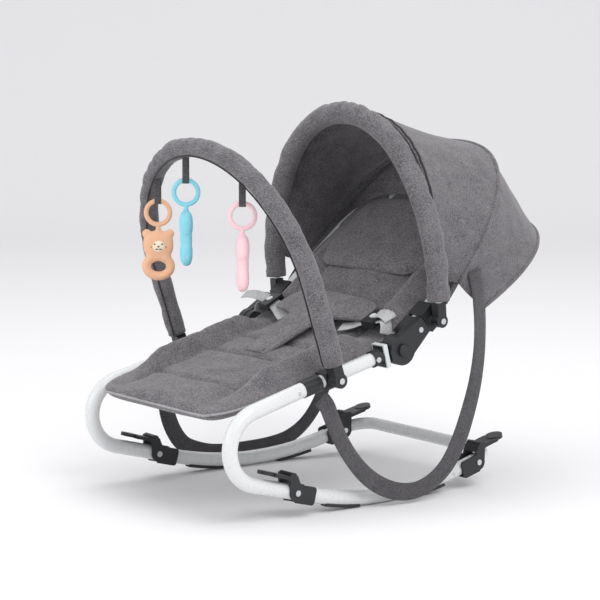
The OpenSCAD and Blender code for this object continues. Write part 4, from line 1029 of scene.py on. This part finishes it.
class BouncerSettings(bpy.types.PropertyGroup):
    """Sizes and tones that the pieces are built from."""

    wrinkle: bpy.props.FloatProperty(
        name="Wrinkle", description="Depth of the cloth's small wrinkles",
        default=0.0018, unit="LENGTH", min=0.0, max=0.004,
    )
    canopy_sag: bpy.props.FloatProperty(
        name="Canopy Sag", description="How far the canopy draws in between its bows",
        default=0.007, unit="LENGTH", min=0.0, max=0.02,
    )
    strap_width: bpy.props.FloatProperty(
        name="Strap Width", description="Width of the carrying straps",
        default=0.030, unit="LENGTH", min=0.02, max=0.036,
    )
    weave_scale: bpy.props.FloatProperty(
        name="Weave", description="Fineness of the cloth's weave",
        default=1.0, subtype="FACTOR", min=0.2, max=4.0,
    )
    cloth_tone: bpy.props.FloatProperty(
        name="Cloth Tone", description="Lightness of the grey cloth",
        default=1.0, subtype="FACTOR", min=0.3, max=2.0,
    )
    key_power: bpy.props.FloatProperty(
        name="Key Light", description="Power of the main light",
        default=42.0, unit="POWER", min=1.0, max=500.0,
    )
    world_power: bpy.props.FloatProperty(
        name="Room Light", description="Strength of the light all round",
        default=0.82, subtype="FACTOR", min=0.0, max=3.0,
    )


class BOUNCER_OT_stage(bpy.types.Operator):
    """Builds the floor, the lights and the camera"""

    bl_idname = "bouncer.stage"
    bl_label = "Build Stage"

    def execute(self, context):
        build_stage(context.scene.bouncer)
        return {"FINISHED"}


class BOUNCER_OT_materials(bpy.types.Operator):
    """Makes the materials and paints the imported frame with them"""

    bl_idname = "bouncer.materials"
    bl_label = "Make Materials"

    def execute(self, context):
        make_materials(context.scene.bouncer)
        return {"FINISHED"}


class BOUNCER_OT_straps(bpy.types.Operator):
    """Builds the slack carrying straps"""

    bl_idname = "bouncer.straps"
    bl_label = "Build Carrying Straps"

    def execute(self, context):
        build_straps(context.scene.bouncer)
        return {"FINISHED"}


class BOUNCER_OT_sling(bpy.types.Operator):
    """Builds the padded seat and back with their piping"""

    bl_idname = "bouncer.sling"
    bl_label = "Build Seat And Back"

    def execute(self, context):
        build_sling(context.scene.bouncer)
        return {"FINISHED"}


class BOUNCER_OT_head_pad(bpy.types.Operator):
    """Builds the head cushion"""

    bl_idname = "bouncer.head_pad"
    bl_label = "Build Head Pad"

    def execute(self, context):
        build_head_pad(context.scene.bouncer)
        return {"FINISHED"}


class BOUNCER_OT_harness(bpy.types.Operator):
    """Builds the crotch pad and the waist webbing"""

    bl_idname = "bouncer.harness"
    bl_label = "Build Harness"

    def execute(self, context):
        build_harness(context.scene.bouncer)
        return {"FINISHED"}


class BOUNCER_OT_toy_bar(bpy.types.Operator):
    """Builds the padded sleeve of the toy bar"""

    bl_idname = "bouncer.toy_bar"
    bl_label = "Build Toy Bar Sleeve"

    def execute(self, context):
        build_toy_bar(context.scene.bouncer)
        return {"FINISHED"}


class BOUNCER_OT_canopy(bpy.types.Operator):
    """Builds the canopy's sleeve, panels and seams"""

    bl_idname = "bouncer.canopy"
    bl_label = "Build Canopy"

    def execute(self, context):
        build_canopy(context.scene.bouncer)
        return {"FINISHED"}


class BOUNCER_OT_toys(bpy.types.Operator):
    """Builds the hanging loops and the toys"""

    bl_idname = "bouncer.toys"
    bl_label = "Build Toys"

    def execute(self, context):
        build_toys(context.scene.bouncer)
        return {"FINISHED"}


STEPS = ("stage", "materials", "straps", "sling", "head_pad", "harness", "toy_bar", "canopy", "toys")


class BOUNCER_PT_panel(bpy.types.Panel):
    """Settings and steps of the bouncer's looks"""

    bl_label = "Bouncer Seat"
    bl_idname = "BOUNCER_PT_panel"
    bl_space_type = "VIEW_3D"
    bl_region_type = "UI"
    bl_category = "Bouncer"

    def draw(self, context):
        for name in BouncerSettings.__annotations__:
            self.layout.prop(context.scene.bouncer, name)
        for step in STEPS:
            self.layout.operator("bouncer." + step)


CLASSES = (
    BouncerSettings, BOUNCER_OT_stage, BOUNCER_OT_materials, BOUNCER_OT_straps, BOUNCER_OT_sling,
    BOUNCER_OT_head_pad, BOUNCER_OT_harness, BOUNCER_OT_toy_bar, BOUNCER_OT_canopy, BOUNCER_OT_toys,
    BOUNCER_PT_panel,
)


def register():
    for cls in CLASSES:
        bpy.utils.register_class(cls)
    bpy.types.Scene.bouncer = bpy.props.PointerProperty(type=BouncerSettings)


def unregister():
    del bpy.types.Scene.bouncer
    for cls in reversed(CLASSES):
        bpy.utils.unregister_class(cls)


def plain(value):
    """The value as plain nested lists of numbers."""
    if isinstance(value, dict):
        return {k: plain(v) for k, v in value.items()}
    if hasattr(value, "__len__") and not isinstance(value, str):
        return [plain(v) for v in value]
    return float(value)


def main():
    register()
    before = plain(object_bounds())
    for step in STEPS:
        getattr(bpy.ops.bouncer, step)()
    after = plain(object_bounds())


if __name__ == "__main__":
    main()
